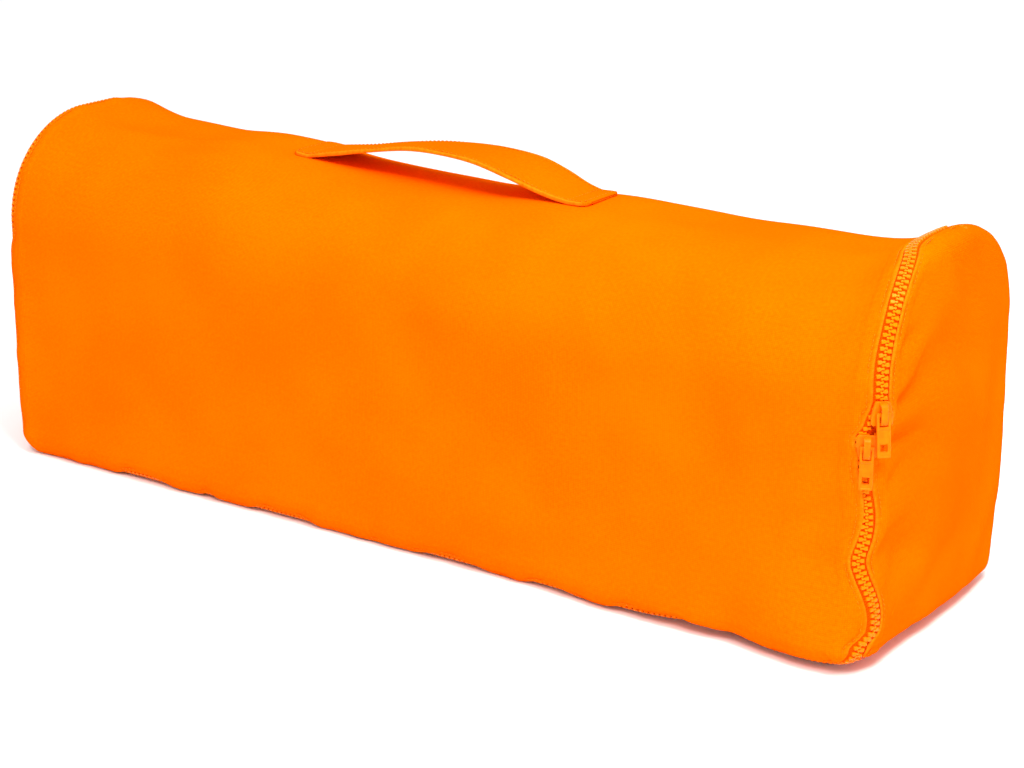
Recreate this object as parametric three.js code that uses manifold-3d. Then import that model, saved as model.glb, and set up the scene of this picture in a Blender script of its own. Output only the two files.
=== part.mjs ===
import * as THREE from "three";
import { mergeVertices } from "three/addons/utils/BufferGeometryUtils.js";
import Module from "manifold-3d";

const wasm = await Module();
wasm.setup();

// Yoga mat bag of cotton canvas, lying as it stands on a table.
// Millimetres. X runs along the bag, -Y is the front, +Z is up, and the floor is Z = 0.

// Main form
const LENGTH = 680;
const DEPTH = 186;
const HEIGHT = 250;
const WALL = 1.6;
const TOP_ROUND = 78;
const BOTTOM_ROUND = 18;
const END_ROUND = 16;
const SEAM_GAP = 0.3;

// Zip with moulded teeth, size 8
const CHAIN_WIDTH = 7;
const CHAIN_THICKNESS = 2.6;
const CHAIN_PROUD = 0.8;
const CHAIN_GAP = 0.3;
const CLOTH_GAP = 0.7;
const ZIP_CORNER_ROUND = 15;
const ZIP_PAST_RIDGE = 14;
const ZIP_UNDER_ANGLE = 60;

// Sliders and their pull tabs. The upper one stands at a share of HEIGHT, the lower one under it.
const UPPER_SLIDER_UP = 0.64;
const SLIDER_SPACING = 19;
const SLIDER_LENGTH = 14;
const SLIDER_MOUTH_WIDTH = 12.5;
const SLIDER_NOSE_WIDTH = 8.4;
const SLIDER_PLATE = 1.6;
const SLIDER_NECK = 1.6;
const OPEN_SPREAD = 3;
const UPPER_SHIFT = 1.5;
const LOWER_SHIFT = -4.3;
const SHIFT_FADE = 45;
const BRIDGE_LENGTH = 12.6;
const BRIDGE_WIDTH = 4.2;
const BRIDGE_THICKNESS = 1.2;
const PULL_LENGTH = 24;
const PULL_WIDTH = 7.8;
const PULL_THICKNESS = 1.8;
const PULL_BAR = 2;
const PULL_WINDOW = 4;
const PLAY = 0.4;
const UNDER_PLAY = 1.2;
const UPPER_PULL_TILT = 9;
const LOWER_PULL_TILT = 2;

// Carrying handle, a flat strap of the same canvas
const STRAP_WIDTH = 42;
const STRAP_THICKNESS = 3;
const STRAP_LEFT = -140;
const STRAP_RIGHT = 98;
const STRAP_SETBACK = 6;
const STRAP_RISE = 21.5;
const STRAP_SEWN = 14;
const STRAP_SEAT = 0.55;
const STRAP_TWIST = 6;

// Sections along the bag, from the left end (along 0) to the right end (along 1).
// top is a share of HEIGHT, front and back are shares of half of DEPTH at mid height.
const SECTIONS = [
  { along: 0.0, top: 0.99, front: 1.0, back: 0.99 },
  { along: 0.03, top: 0.975, front: 1.0, back: 1.0 },
  { along: 0.08, top: 0.945, front: 1.01, back: 1.0 },
  { along: 0.16, top: 0.93, front: 1.02, back: 1.01 },
  { along: 0.23, top: 0.938, front: 1.02, back: 1.02 },
  { along: 0.3, top: 0.925, front: 1.02, back: 1.02 },
  { along: 0.4, top: 0.91, front: 1.02, back: 1.02 },
  { along: 0.7, top: 0.908, front: 1.02, back: 1.02 },
  { along: 0.86, top: 0.905, front: 1.01, back: 1.01 },
  { along: 0.94, top: 0.915, front: 1.0, back: 1.0 },
  { along: 0.985, top: 0.975, front: 1.0, back: 1.0 },
  { along: 1.0, top: 1.0, front: 1.0, back: 1.0 },
];

// Dents (depth over 0) and bulges (depth under 0), each on one side of the bag.
// across and up are the place, as shares of that side; wide and high its reach; depth a share of DEPTH.
const DENTS = [
  { side: "front", across: 0.95, up: 0.04, wide: 0.07, high: 0.18, turn: 0, depth: -0.07 },
  { side: "front", across: 0.76, up: 0.03, wide: 0.07, high: 0.15, turn: 0, depth: -0.035 },
  { side: "front", across: 0.5, up: 0.75, wide: 0.05, high: 0.3, turn: 20, depth: 0.012 },
  { side: "front", across: 0.12, up: 0.7, wide: 0.08, high: 0.3, turn: -15, depth: 0.014 },
  { side: "front", across: 0.78, up: 0.35, wide: 0.1, high: 0.2, turn: 30, depth: 0.014 },
  { side: "bottom", across: 0.86, up: 0.0, wide: 0.045, high: 0.3, turn: 0, depth: 0.03 },
  { side: "bottom", across: 1.0, up: 0.15, wide: 0.03, high: 0.3, turn: 0, depth: 0.035 },
  { side: "right", across: 0.45, up: 0.5, wide: 0.5, high: 0.42, turn: 0, depth: -0.045 },
  { side: "right", across: 0.3, up: 0.68, wide: 0.16, high: 0.07, turn: 20, depth: 0.03 },
  { side: "right", across: 0.25, up: 0.5, wide: 0.14, high: 0.06, turn: -10, depth: 0.025 },
  { side: "right", across: 0.2, up: 0.28, wide: 0.16, high: 0.08, turn: 15, depth: 0.03 },
  { side: "left", across: 0.5, up: 0.5, wide: 0.5, high: 0.45, turn: 0, depth: -0.025 },
  { side: "left", across: 0.15, up: 0.2, wide: 0.4, high: 0.15, turn: 0, depth: -0.01 },
  { side: "left", across: 0.4, up: 0.6, wide: 0.2, high: 0.1, turn: 10, depth: 0.02 },
  { side: "back", across: 0.98, up: 0.88, wide: 0.06, high: 0.2, turn: 0, depth: -0.025 },
  { side: "back", across: 0.3, up: 0.6, wide: 0.06, high: 0.35, turn: 15, depth: 0.014 },
  { side: "back", across: 0.68, up: 0.45, wide: 0.07, high: 0.3, turn: -20, depth: 0.016 },
  { side: "top", across: 0.47, up: 0.5, wide: 0.12, high: 0.5, turn: 0, depth: 0.02 },
];

// Sideways waves of the zip: up the right end, and along the underside.
// shift is a share of CHAIN_WIDTH, outward at the end and rearward underneath.
const RIGHT_WAVE = [
  { up: 0.0, shift: 0 },
  { up: 0.08, shift: 0.9 },
  { up: 0.12, shift: 1 },
  { up: 0.16, shift: 0.53 },
  { up: 0.2, shift: -0.24 },
  { up: 0.23, shift: -0.68 },
  { up: 0.275, shift: -0.4 },
  { up: 0.33, shift: -0.33 },
  { up: 0.385, shift: -0.43 },
  { up: 0.42, shift: -0.38 },
  { up: 0.455, shift: 0 },
  { up: 0.48, shift: 0 },
  { up: 0.6, shift: 0.05 },
  { up: 0.68, shift: 0.17 },
  { up: 0.75, shift: -0.05 },
  { up: 0.8, shift: -0.3 },
  { up: 0.85, shift: -0.75 },
  { up: 0.9, shift: -1.4 },
  { up: 1.0, shift: -1.6 },
];
const UNDER_WAVE = [
  { along: 0.0, shift: 0 },
  { along: 0.08, shift: 0 },
  { along: 0.2, shift: -0.3 },
  { along: 0.35, shift: 0 },
  { along: 0.5, shift: -0.3 },
  { along: 0.62, shift: 0 },
  { along: 0.8, shift: -0.3 },
  { along: 0.93, shift: 0 },
  { along: 1.0, shift: 0 },
];

// Small helpers
const RADIAN = Math.PI / 180;
const lerp = THREE.MathUtils.lerp;
const smooth = (t) => THREE.MathUtils.smoothstep(t, 0, 1);

function fromTable(rows, key, at, column) {
  let k = 0;
  while (k < rows.length - 2 && at > rows[k + 1][key]) {
    k += 1;
  }
  const from = rows[k];
  const to = rows[k + 1];
  const before = rows[Math.max(k - 1, 0)];
  const after = rows[Math.min(k + 2, rows.length - 1)];
  const span = to[key] - from[key];
  const t = THREE.MathUtils.clamp((at - from[key]) / span, 0, 1);
  const slopeIn = ((to[column] - before[column]) / (to[key] - before[key])) * span;
  const slopeOut = ((after[column] - from[column]) / (after[key] - from[key])) * span;
  const cubic = 2 * t ** 3 - 3 * t ** 2;
  return (
    (cubic + 1) * from[column] +
    (t ** 3 - 2 * t ** 2 + t) * slopeIn -
    cubic * to[column] +
    (t ** 3 - t ** 2) * slopeOut
  );
}

// Section outline before it sags: a rounded rectangle, walked from the zip line at the
// lower front edge, up the front, over the top, down the back and under.
const topRound = Math.min(TOP_ROUND, DEPTH / 2 - END_ROUND / 2);
const bottomRound = Math.max(BOTTOM_ROUND, END_ROUND + WALL);
const halfDepth = DEPTH / 2;
const underAngle = ZIP_UNDER_ANGLE * RADIAN;

function arcPart(cy, cz, radius, from, to) {
  return {
    length: radius * Math.abs(to - from),
    at: (run) => {
      const angle = from - run / radius;
      return { y: cy + radius * Math.cos(angle), z: cz + radius * Math.sin(angle), angle };
    },
  };
}

function linePart(y, z, angle, length) {
  return {
    length,
    at: (run) => ({ y: y + run * Math.sin(angle), z: z - run * Math.cos(angle), angle }),
  };
}

const PARTS = [
  arcPart(bottomRound - halfDepth, bottomRound, bottomRound, Math.PI + underAngle, Math.PI),
  linePart(-halfDepth, bottomRound, Math.PI, HEIGHT - bottomRound - topRound),
  arcPart(topRound - halfDepth, HEIGHT - topRound, topRound, Math.PI, Math.PI / 2),
  linePart(topRound - halfDepth, HEIGHT, Math.PI / 2, DEPTH - 2 * topRound),
  arcPart(halfDepth - topRound, HEIGHT - topRound, topRound, Math.PI / 2, 0),
  linePart(halfDepth, HEIGHT - topRound, 0, HEIGHT - bottomRound - topRound),
  arcPart(halfDepth - bottomRound, bottomRound, bottomRound, 0, -Math.PI / 2),
  linePart(halfDepth - bottomRound, 0, -Math.PI / 2, DEPTH - 2 * bottomRound),
  arcPart(bottomRound - halfDepth, bottomRound, bottomRound, -Math.PI / 2, underAngle - Math.PI),
];
const PERIMETER = PARTS.reduce((sum, part) => sum + part.length, 0);
const TOP_MIDDLE = PARTS[0].length + PARTS[1].length + PARTS[2].length + PARTS[3].length / 2;
const FLOOR_START = PERIMETER - PARTS[8].length - PARTS[7].length;

function outline(b) {
  let rest = ((b % PERIMETER) + PERIMETER) % PERIMETER;
  let k = 0;
  while (k < PARTS.length - 1 && rest > PARTS[k].length) {
    rest -= PARTS[k].length;
    k += 1;
  }
  return PARTS[k].at(rest);
}

// Sag, bulge and dent of the filled bag, added to a point of the plain form
const SIDES = {
  front: { out: [0, -1, 0], place: (p) => [p.x / LENGTH + 0.5, p.z / HEIGHT], size: [LENGTH, HEIGHT] },
  back: { out: [0, 1, 0], place: (p) => [p.x / LENGTH + 0.5, p.z / HEIGHT], size: [LENGTH, HEIGHT] },
  top: { out: [0, 0, 1], place: (p) => [p.x / LENGTH + 0.5, p.y / DEPTH + 0.5], size: [LENGTH, DEPTH] },
  bottom: { out: [0, 0, -1], place: (p) => [p.x / LENGTH + 0.5, p.y / DEPTH + 0.5], size: [LENGTH, DEPTH] },
  right: { out: [1, 0, 0], place: (p) => [p.y / DEPTH + 0.5, p.z / HEIGHT], size: [DEPTH, HEIGHT] },
  left: { out: [-1, 0, 0], place: (p) => [p.y / DEPTH + 0.5, p.z / HEIGHT], size: [DEPTH, HEIGHT] },
};

function dentAt(dent, point, facing) {
  const side = SIDES[dent.side];
  const out = new THREE.Vector3(...side.out);
  const faces = Math.max(facing.dot(out), 0);
  const [across, up] = side.place(point);
  const dx = (across - dent.across) * side.size[0];
  const dy = (up - dent.up) * side.size[1];
  const turn = dent.turn * RADIAN;
  const u = (dx * Math.cos(turn) + dy * Math.sin(turn)) / (dent.wide * side.size[0]);
  const v = (dy * Math.cos(turn) - dx * Math.sin(turn)) / (dent.high * side.size[1]);
  return out.multiplyScalar(-dent.depth * DEPTH * faces * Math.exp(-u * u - v * v));
}

function settle(point, facing) {
  const along = point.x / LENGTH + 0.5;
  const up = point.z / HEIGHT;
  const moved = point.clone();
  moved.z *= lerp(1, fromTable(SECTIONS, "along", along, "top"), smooth(up));
  const belly = Math.sin(Math.PI * THREE.MathUtils.clamp(up, 0, 1));
  const column = point.y < 0 ? "front" : "back";
  moved.y *= 1 + (fromTable(SECTIONS, "along", along, column) - 1) * belly;
  for (const dent of DENTS) {
    moved.add(dentAt(dent, point, facing));
  }
  return moved;
}

// The skin: a runs along the bag and round the end corner, b round the section.
// Its facing is measured over a short probe to either side.
const PROBE = 0.5;
const STRAIGHT = LENGTH / 2 - END_ROUND;
const ROUND_END = STRAIGHT + END_ROUND * (Math.PI / 2);

function rawSkin(a, b) {
  const side = Math.sign(a) || 1;
  const reach = Math.abs(a);
  const turn = THREE.MathUtils.clamp((reach - STRAIGHT) / END_ROUND, 0, Math.PI / 2);
  const inset = END_ROUND * (1 - Math.cos(turn));
  const ring = outline(b);
  const ny = Math.cos(ring.angle);
  const nz = Math.sin(ring.angle);
  const x = side * (Math.min(reach, STRAIGHT) + END_ROUND * Math.sin(turn));
  const point = new THREE.Vector3(x, ring.y - ny * inset, ring.z - nz * inset);
  const facing = new THREE.Vector3(side * Math.sin(turn), ny * Math.cos(turn), nz * Math.cos(turn));
  return settle(point, facing);
}

function skin(a, b, height = 0) {
  const point = rawSkin(a, b);
  const alongA = rawSkin(a + PROBE, b).sub(rawSkin(a - PROBE, b));
  const alongB = rawSkin(a, b + PROBE).sub(rawSkin(a, b - PROBE));
  return point.addScaledVector(alongA.cross(alongB).normalize(), height);
}

// The flat of an end panel, reached by its place in the end plane
function rawPanel(side, y, z) {
  const facing = new THREE.Vector3(side, 0, 0);
  return settle(new THREE.Vector3((side * LENGTH) / 2, y, z), facing);
}

function panel(side, y, z, height = 0) {
  const point = rawPanel(side, y, z);
  const alongY = rawPanel(side, y + PROBE, z).sub(rawPanel(side, y - PROBE, z));
  const alongZ = rawPanel(side, y, z + PROBE).sub(rawPanel(side, y, z - PROBE));
  return point.addScaledVector(alongY.cross(alongZ).normalize(), height * side);
}

// Route of the zip, as places on the skin
const CREST = STRAIGHT + END_ROUND * (Math.PI / 4);
const HALF_CHAIN = CHAIN_WIDTH / 2;
const CLOTH_EDGE = HALF_CHAIN + CLOTH_GAP;
const ROUTE_ROUND = ZIP_CORNER_ROUND + CLOTH_EDGE;
const ZIP_END = TOP_MIDDLE + ZIP_PAST_RIDGE;
const SLIDER_LINE = PARTS[0].length - bottomRound;
const upperSlider = UPPER_SLIDER_UP * HEIGHT + SLIDER_LINE;
const lowerSlider = upperSlider - SLIDER_SPACING;

// The chain steps sideways where it is parted, between the two sliders
function sliderStep(b) {
  const inset = SLIDER_LENGTH / 4;
  const t = (b - lowerSlider - inset) / (upperSlider - lowerSlider - 2 * inset);
  const beyond = Math.max(lowerSlider - b, b - upperSlider) - SLIDER_LENGTH / 2;
  return lerp(LOWER_SHIFT, UPPER_SHIFT, smooth(t)) * (1 - smooth(beyond / SHIFT_FADE));
}

function sideWave(side, b) {
  if (side < 0) {
    return 0;
  }
  const wave = fromTable(RIGHT_WAVE, "up", b / TOP_MIDDLE, "shift") * CHAIN_WIDTH;
  const begun = smooth((2 * (b - ROUTE_ROUND)) / ROUTE_ROUND);
  const ended = smooth((b - ZIP_END) / SHIFT_FADE);
  return wave * begun * (1 - ended) + sliderStep(b);
}

function underWave(a) {
  const calm = smooth((CREST - ROUTE_ROUND - Math.abs(a)) / ROUTE_ROUND);
  return -fromTable(UNDER_WAVE, "along", a / LENGTH + 0.5, "shift") * CHAIN_WIDTH * calm;
}

// The halves of the chain part quickly at each slider and stay apart between them
const SPREAD_RATE = 2.5;
function openSpread(side, b) {
  const middle = (upperSlider + lowerSlider) / 2;
  const reach = (upperSlider - lowerSlider) / 2 + SLIDER_LENGTH / 3;
  const off = Math.abs(b - middle) / reach;
  return side > 0 ? OPEN_SPREAD * smooth((1 - off) * SPREAD_RATE) : 0;
}

// Even steps of at most about one size between marks, so that every mark is a step
function stepsThrough(marks, size) {
  const values = [marks[0]];
  for (let k = 1; k < marks.length; k += 1) {
    const count = Math.max(Math.round((marks[k] - marks[k - 1]) / size), 1);
    for (let n = 1; n <= count; n += 1) {
      values.push(lerp(marks[k - 1], marks[k], n / count));
    }
  }
  return values;
}

// Rows of the wrap's grid, as shares of its half length: closer where the cloth turns
const END_ROWS = [0, 4, 8, 13, 19, 28];
const MIDDLE_STEP = 30;
const HALF_LENGTH = LENGTH / 2;
const toMiddle = stepsThrough([END_ROWS[END_ROWS.length - 1], HALF_LENGTH], MIDDLE_STEP);
const fromEnd = [...END_ROWS, ...toMiddle.slice(1, -1)];
const HALF_ROWS = fromEnd.map((inward) => 1 - inward / HALF_LENGTH);
const ROWS = [...HALF_ROWS.map((share) => -share), 0, ...HALF_ROWS.slice().reverse()];

// Columns of the wrap's grid, round the section: closer at the zip's turn and at the sliders
const TURN_ANGLES = [0, 25, 45, 65, 90].map((angle) => angle * RADIAN);
const WAVE_STEP = 11;
const SLIDER_STEP = 5;
const FACE_STEP = 20;
const BACK_STEP = 28;
const FLOOR_STEP = 36;
const CORNER_STEP = 9;

function wrapColumns() {
  const turn = TURN_ANGLES.map((angle) => CLOTH_EDGE + ZIP_CORNER_ROUND * (1 - Math.cos(angle)));
  const below = stepsThrough([ROUTE_ROUND, lowerSlider - SLIDER_LENGTH], WAVE_STEP);
  const sliders = stepsThrough([lowerSlider - SLIDER_LENGTH, upperSlider + SLIDER_LENGTH], SLIDER_STEP);
  const face = stepsThrough([upperSlider + SLIDER_LENGTH, TOP_MIDDLE, ZIP_END], FACE_STEP);
  const seam = ZIP_END + CLOTH_GAP + CHAIN_WIDTH;
  const back = stepsThrough([seam, FLOOR_START - PARTS[6].length], BACK_STEP);
  const heel = stepsThrough([FLOOR_START - PARTS[6].length, FLOOR_START], CORNER_STEP);
  const under = stepsThrough([FLOOR_START, PERIMETER - PARTS[8].length], FLOOR_STEP);
  const toe = stepsThrough([PERIMETER - PARTS[8].length, PERIMETER - CLOTH_EDGE], CORNER_STEP);
  const front = [...turn, ...below.slice(1), ...sliders.slice(1), ...face.slice(1)];
  return { front, over: [...front, ...back, ...heel.slice(1)], under: [...under.slice(1), ...toe.slice(1)] };
}

const COLUMNS = wrapColumns();

// Each spot of the route has its place and the direction out of the front panel, as a lean
function zipRoute() {
  const straight = CREST - ROUTE_ROUND;
  const half = ROWS.filter((share) => share >= 0 && share < 1);
  const under = half.map((share) => ({ a: straight * share, b: 0, lean: 0 }));
  const turn = TURN_ANGLES.map((lean) => ({
    a: straight + ROUTE_ROUND * Math.sin(lean),
    b: ROUTE_ROUND * (1 - Math.cos(lean)),
    lean,
  }));
  const upward = COLUMNS.front.filter((b) => b > ROUTE_ROUND + SEAM_GAP);
  const rise = upward.map((b) => ({ a: CREST, b, lean: Math.PI / 2 }));
  const right = [...under, ...turn, ...rise];
  const left = right.slice(1).reverse().map((spot) => ({ ...spot, a: -spot.a }));
  return [...left, ...right].map((spot) => {
    const side = Math.sign(spot.a);
    const out = new THREE.Vector2(side * Math.sin(spot.lean), -Math.cos(spot.lean));
    const place = new THREE.Vector2(spot.a, spot.b);
    place.x += side * sideWave(side, spot.b);
    place.y += underWave(spot.a);
    return { place, out, spread: openSpread(side, spot.b) };
  });
}

const ROUTE = zipRoute();

// A closed body from two skins of one grid: rows of columns, outer and inner
function wallBody(outer, inner, closed) {
  const columns = outer[0].length;
  const positions = [];
  const faces = [];
  const id = (layer, row, column) => layer * outer.length * columns + row * columns + (column % columns);
  for (const layer of [outer, inner]) {
    for (const row of layer) {
      for (const point of row) {
        positions.push(point.x, point.y, point.z);
      }
    }
  }
  const quad = (p, q, r, s) => faces.push(p, q, r, p, r, s);
  const last = outer.length - 1;
  const steps = closed ? columns : columns - 1;
  for (let row = 0; row < last; row += 1) {
    for (let column = 0; column < steps; column += 1) {
      const next = column + 1;
      quad(id(0, row, column), id(0, row, next), id(0, row + 1, next), id(0, row + 1, column));
      quad(id(1, row, column), id(1, row + 1, column), id(1, row + 1, next), id(1, row, next));
    }
  }
  for (let column = 0; column < steps; column += 1) {
    const next = column + 1;
    quad(id(0, 0, next), id(0, 0, column), id(1, 0, column), id(1, 0, next));
    quad(id(0, last, column), id(0, last, next), id(1, last, next), id(1, last, column));
  }
  if (!closed) {
    const end = columns - 1;
    for (let row = 0; row < last; row += 1) {
      quad(id(0, row, 0), id(0, row + 1, 0), id(1, row + 1, 0), id(1, row, 0));
      quad(id(0, row + 1, end), id(0, row, end), id(1, row, end), id(1, row + 1, end));
    }
  }
  return facingOut(positions, faces);
}

function facingOut(positions, faces) {
  const corner = (k) => new THREE.Vector3().fromArray(positions, faces[k] * 3);
  let volume = 0;
  for (let k = 0; k < faces.length; k += 3) {
    volume += corner(k).dot(corner(k + 1).cross(corner(k + 2)));
  }
  const turned = volume < 0 ? faces.slice().reverse() : faces;
  const geometry = new THREE.BufferGeometry();
  geometry.setAttribute("position", new THREE.Float32BufferAttribute(positions, 3));
  geometry.setIndex(turned);
  geometry.computeVertexNormals();
  return geometry;
}

// Wrap panel: one canvas from the zip up the front, over the top, down the back and under
function wrapEdge(side, b) {
  const zipped = 1 - smooth((b - ZIP_END - CLOTH_GAP) / CHAIN_WIDTH);
  const back = (CLOTH_EDGE + openSpread(side, b)) * zipped + (SEAM_GAP / 2) * (1 - zipped);
  const edge = CREST - back + sideWave(side, b);
  const low = b - CLOTH_EDGE;
  if (low >= ZIP_CORNER_ROUND) {
    return edge;
  }
  const drop = ZIP_CORNER_ROUND - Math.max(low, 0);
  return edge - ZIP_CORNER_ROUND + Math.sqrt(ZIP_CORNER_ROUND ** 2 - drop ** 2);
}

// How far the outer edge of the zip's turn lies above the zip line, at a place along the bag
const OUTER_ROUND = ZIP_CORNER_ROUND + 2 * CLOTH_EDGE;
function turnRise(a) {
  const past = Math.max(Math.abs(a) - (CREST - ROUTE_ROUND), 0);
  return ROUTE_ROUND - Math.sqrt(OUTER_ROUND ** 2 - past ** 2);
}

function wrapPlace(share, b) {
  const side = Math.sign(share) || 1;
  const a = share * wrapEdge(side, b);
  const lift = underWave(a) * (1 - smooth((b - CLOTH_EDGE) / (3 * ZIP_CORNER_ROUND)));
  return [a, b + lift];
}

function underPlace(share, b) {
  const a = share * (CREST - SEAM_GAP / 2);
  const f = (b - FLOOR_START) / (PERIMETER - CLOTH_EDGE - FLOOR_START);
  const edge = PERIMETER + turnRise(a) + underWave(a);
  return [a, lerp(FLOOR_START, edge, f)];
}

function wrapPanel() {
  const layer = (height) =>
    ROWS.map((share) => [
      ...COLUMNS.over.map((b) => skin(...wrapPlace(share, b), height)),
      ...COLUMNS.under.map((b) => skin(...underPlace(share, b), height)),
    ]);
  return wallBody(layer(0), layer(-WALL), false);
}

// End panel: a flat canvas with a rounded top, turned over the end corner to its seam.
// Its rings run from the seam round the corner, then inward over the flat.
const CORNER_RINGS = [0, 0.5];
const FLAT_RINGS = [1, 0.82, 0.6, 0.38, 0.16];
function panelEdge(side, b) {
  const near = b > PERIMETER / 2 + TOP_MIDDLE / 2 ? b - PERIMETER : b;
  const zipped = 1 - smooth((near - ZIP_END - CLOTH_GAP) / CHAIN_WIDTH);
  if (near >= ROUTE_ROUND) {
    const out = (CLOTH_EDGE + openSpread(side, near)) * zipped + (SEAM_GAP / 2) * (1 - zipped);
    return CREST + out + sideWave(side, near);
  }
  const drop = Math.min(ROUTE_ROUND - near, OUTER_ROUND);
  const turned = CREST - ROUTE_ROUND + Math.sqrt(OUTER_ROUND ** 2 - drop ** 2);
  return Math.max(turned, CREST + SEAM_GAP / 2);
}

function endPanel(side) {
  const seamEnd = turnRise(CREST - SEAM_GAP / 2);
  const under = COLUMNS.under.map((b) => underPlace(1, b)[1]);
  const ring = [...COLUMNS.over.filter((b) => b > seamEnd + SEAM_GAP), ...under];
  const centre = new THREE.Vector2(0, HEIGHT / 2);
  const layer = (height) => {
    const rows = CORNER_RINGS.map((share) =>
      ring.map((b) => skin(side * lerp(panelEdge(side, b), ROUND_END, share), b, height)),
    );
    for (const share of FLAT_RINGS) {
      rows.push(
        ring.map((b) => {
          const place = outline(b);
          const y = place.y - Math.cos(place.angle) * END_ROUND;
          const z = place.z - Math.sin(place.angle) * END_ROUND;
          return panel(side, lerp(centre.x, y, share), lerp(centre.y, z, share), height);
        }),
      );
    }
    return rows;
  };
  const outer = layer(0);
  const inner = layer(-WALL);
  return cappedBody(outer, inner, panel(side, centre.x, centre.y), panel(side, centre.x, centre.y, -WALL));
}

function cappedBody(outer, inner, outerTip, innerTip) {
  const columns = outer[0].length;
  const positions = [...outer, ...inner].flat().flatMap((point) => point.toArray());
  positions.push(...outerTip.toArray(), ...innerTip.toArray());
  const faces = [];
  const last = outer.length - 1;
  const id = (layer, row, column) => layer * outer.length * columns + row * columns + (column % columns);
  const tip = 2 * outer.length * columns;
  const quad = (p, q, r, s) => faces.push(p, q, r, p, r, s);
  for (let column = 0; column < columns; column += 1) {
    const next = column + 1;
    for (let row = 0; row < last; row += 1) {
      quad(id(0, row, column), id(0, row, next), id(0, row + 1, next), id(0, row + 1, column));
      quad(id(1, row, column), id(1, row + 1, column), id(1, row + 1, next), id(1, row, next));
    }
    faces.push(id(0, last, column), id(0, last, next), tip);
    faces.push(id(1, last, next), id(1, last, column), tip + 1);
    quad(id(0, 0, next), id(0, 0, column), id(1, 0, column), id(1, 0, next));
  }
  return facingOut(positions, faces);
}

// Zip chain: two rows of teeth, each a strip beside the route
function chainHalf(toFront) {
  const bottom = CHAIN_PROUD - CHAIN_THICKNESS;
  const rings = ROUTE.map(({ place, out, spread }) => {
    const near = CHAIN_GAP / 2 + spread;
    const far = HALF_CHAIN + spread;
    const at = (offset, height) => {
      const spot = place.clone().addScaledVector(out, toFront ? -offset : offset);
      return skin(spot.x, spot.y, height);
    };
    return [at(near, CHAIN_PROUD), at(far, CHAIN_PROUD), at(far, bottom), at(near, bottom)];
  });
  return tubeBody(rings);
}

function tubeBody(rings) {
  const count = rings[0].length;
  const positions = rings.flat().flatMap((point) => point.toArray());
  const faces = [];
  for (let row = 0; row < rings.length - 1; row += 1) {
    for (let column = 0; column < count; column += 1) {
      const p = row * count + column;
      const q = row * count + ((column + 1) % count);
      faces.push(p, q, q + count, p, q + count, p + count);
    }
  }
  const end = (rings.length - 1) * count;
  for (let column = 1; column < count - 1; column += 1) {
    faces.push(0, column + 1, column);
    faces.push(end, end + column, end + column + 1);
  }
  return facingOut(positions, faces);
}

// Slider frame: X across the chain, Y up the chain, Z out of the cloth
function sliderFrame(b) {
  const a = CREST + sideWave(1, b);
  const origin = skin(a, b);
  const out = skin(a, b, 1).sub(origin);
  const up = new THREE.Vector3(0, 0, 1);
  const across = new THREE.Vector3().crossVectors(up, out).normalize();
  const along = new THREE.Vector3().crossVectors(out, across).normalize();
  return new THREE.Matrix4().makeBasis(across, along, out).setPosition(origin);
}

const CURVE_STEPS = 5;
const MERGE_REACH = 1e-4;

function extruded(shape, depth) {
  return new THREE.ExtrudeGeometry(shape, { depth, bevelEnabled: false, curveSegments: CURVE_STEPS });
}

function solid(geometry) {
  const plain = geometry.clone();
  plain.deleteAttribute("normal");
  plain.deleteAttribute("uv");
  const merged = mergeVertices(plain, MERGE_REACH);
  const vertProperties = new Float32Array(merged.attributes.position.array);
  const triVerts = new Uint32Array(merged.index.array);
  return new wasm.Manifold(new wasm.Mesh({ numProp: 3, vertProperties, triVerts }));
}

function joined(pieces) {
  const mesh = pieces.map(solid).reduce((sum, next) => sum.add(next)).getMesh();
  return facingOut(Array.from(mesh.vertProperties), Array.from(mesh.triVerts));
}

// Heights over the cloth inside a slider
const PLATE_BASE = CHAIN_PROUD + PLAY;
const PLATE_TOP = PLATE_BASE + SLIDER_PLATE;
const BRIDGE_INNER = Math.hypot(PULL_BAR, PULL_THICKNESS) / 2 + PLAY;
const AXIS_HEIGHT = PLATE_TOP + BRIDGE_INNER;

// The plate narrows from its mouth, where the teeth part, to its nose
const NOSE_CHAMFER = 1;
function platePiece(base, thickness) {
  const half = SLIDER_LENGTH / 2;
  const mouth = SLIDER_MOUTH_WIDTH / 2;
  const nose = SLIDER_NOSE_WIDTH / 2;
  const shape = new THREE.Shape();
  shape.moveTo(-mouth, -half);
  shape.lineTo(mouth, -half);
  shape.lineTo(mouth, 0);
  shape.lineTo(nose, half - NOSE_CHAMFER);
  shape.lineTo(nose - NOSE_CHAMFER, half);
  shape.lineTo(NOSE_CHAMFER - nose, half);
  shape.lineTo(-nose, half - NOSE_CHAMFER);
  shape.lineTo(-mouth, 0);
  shape.closePath();
  return extruded(shape, thickness).translate(0, 0, base);
}

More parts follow.
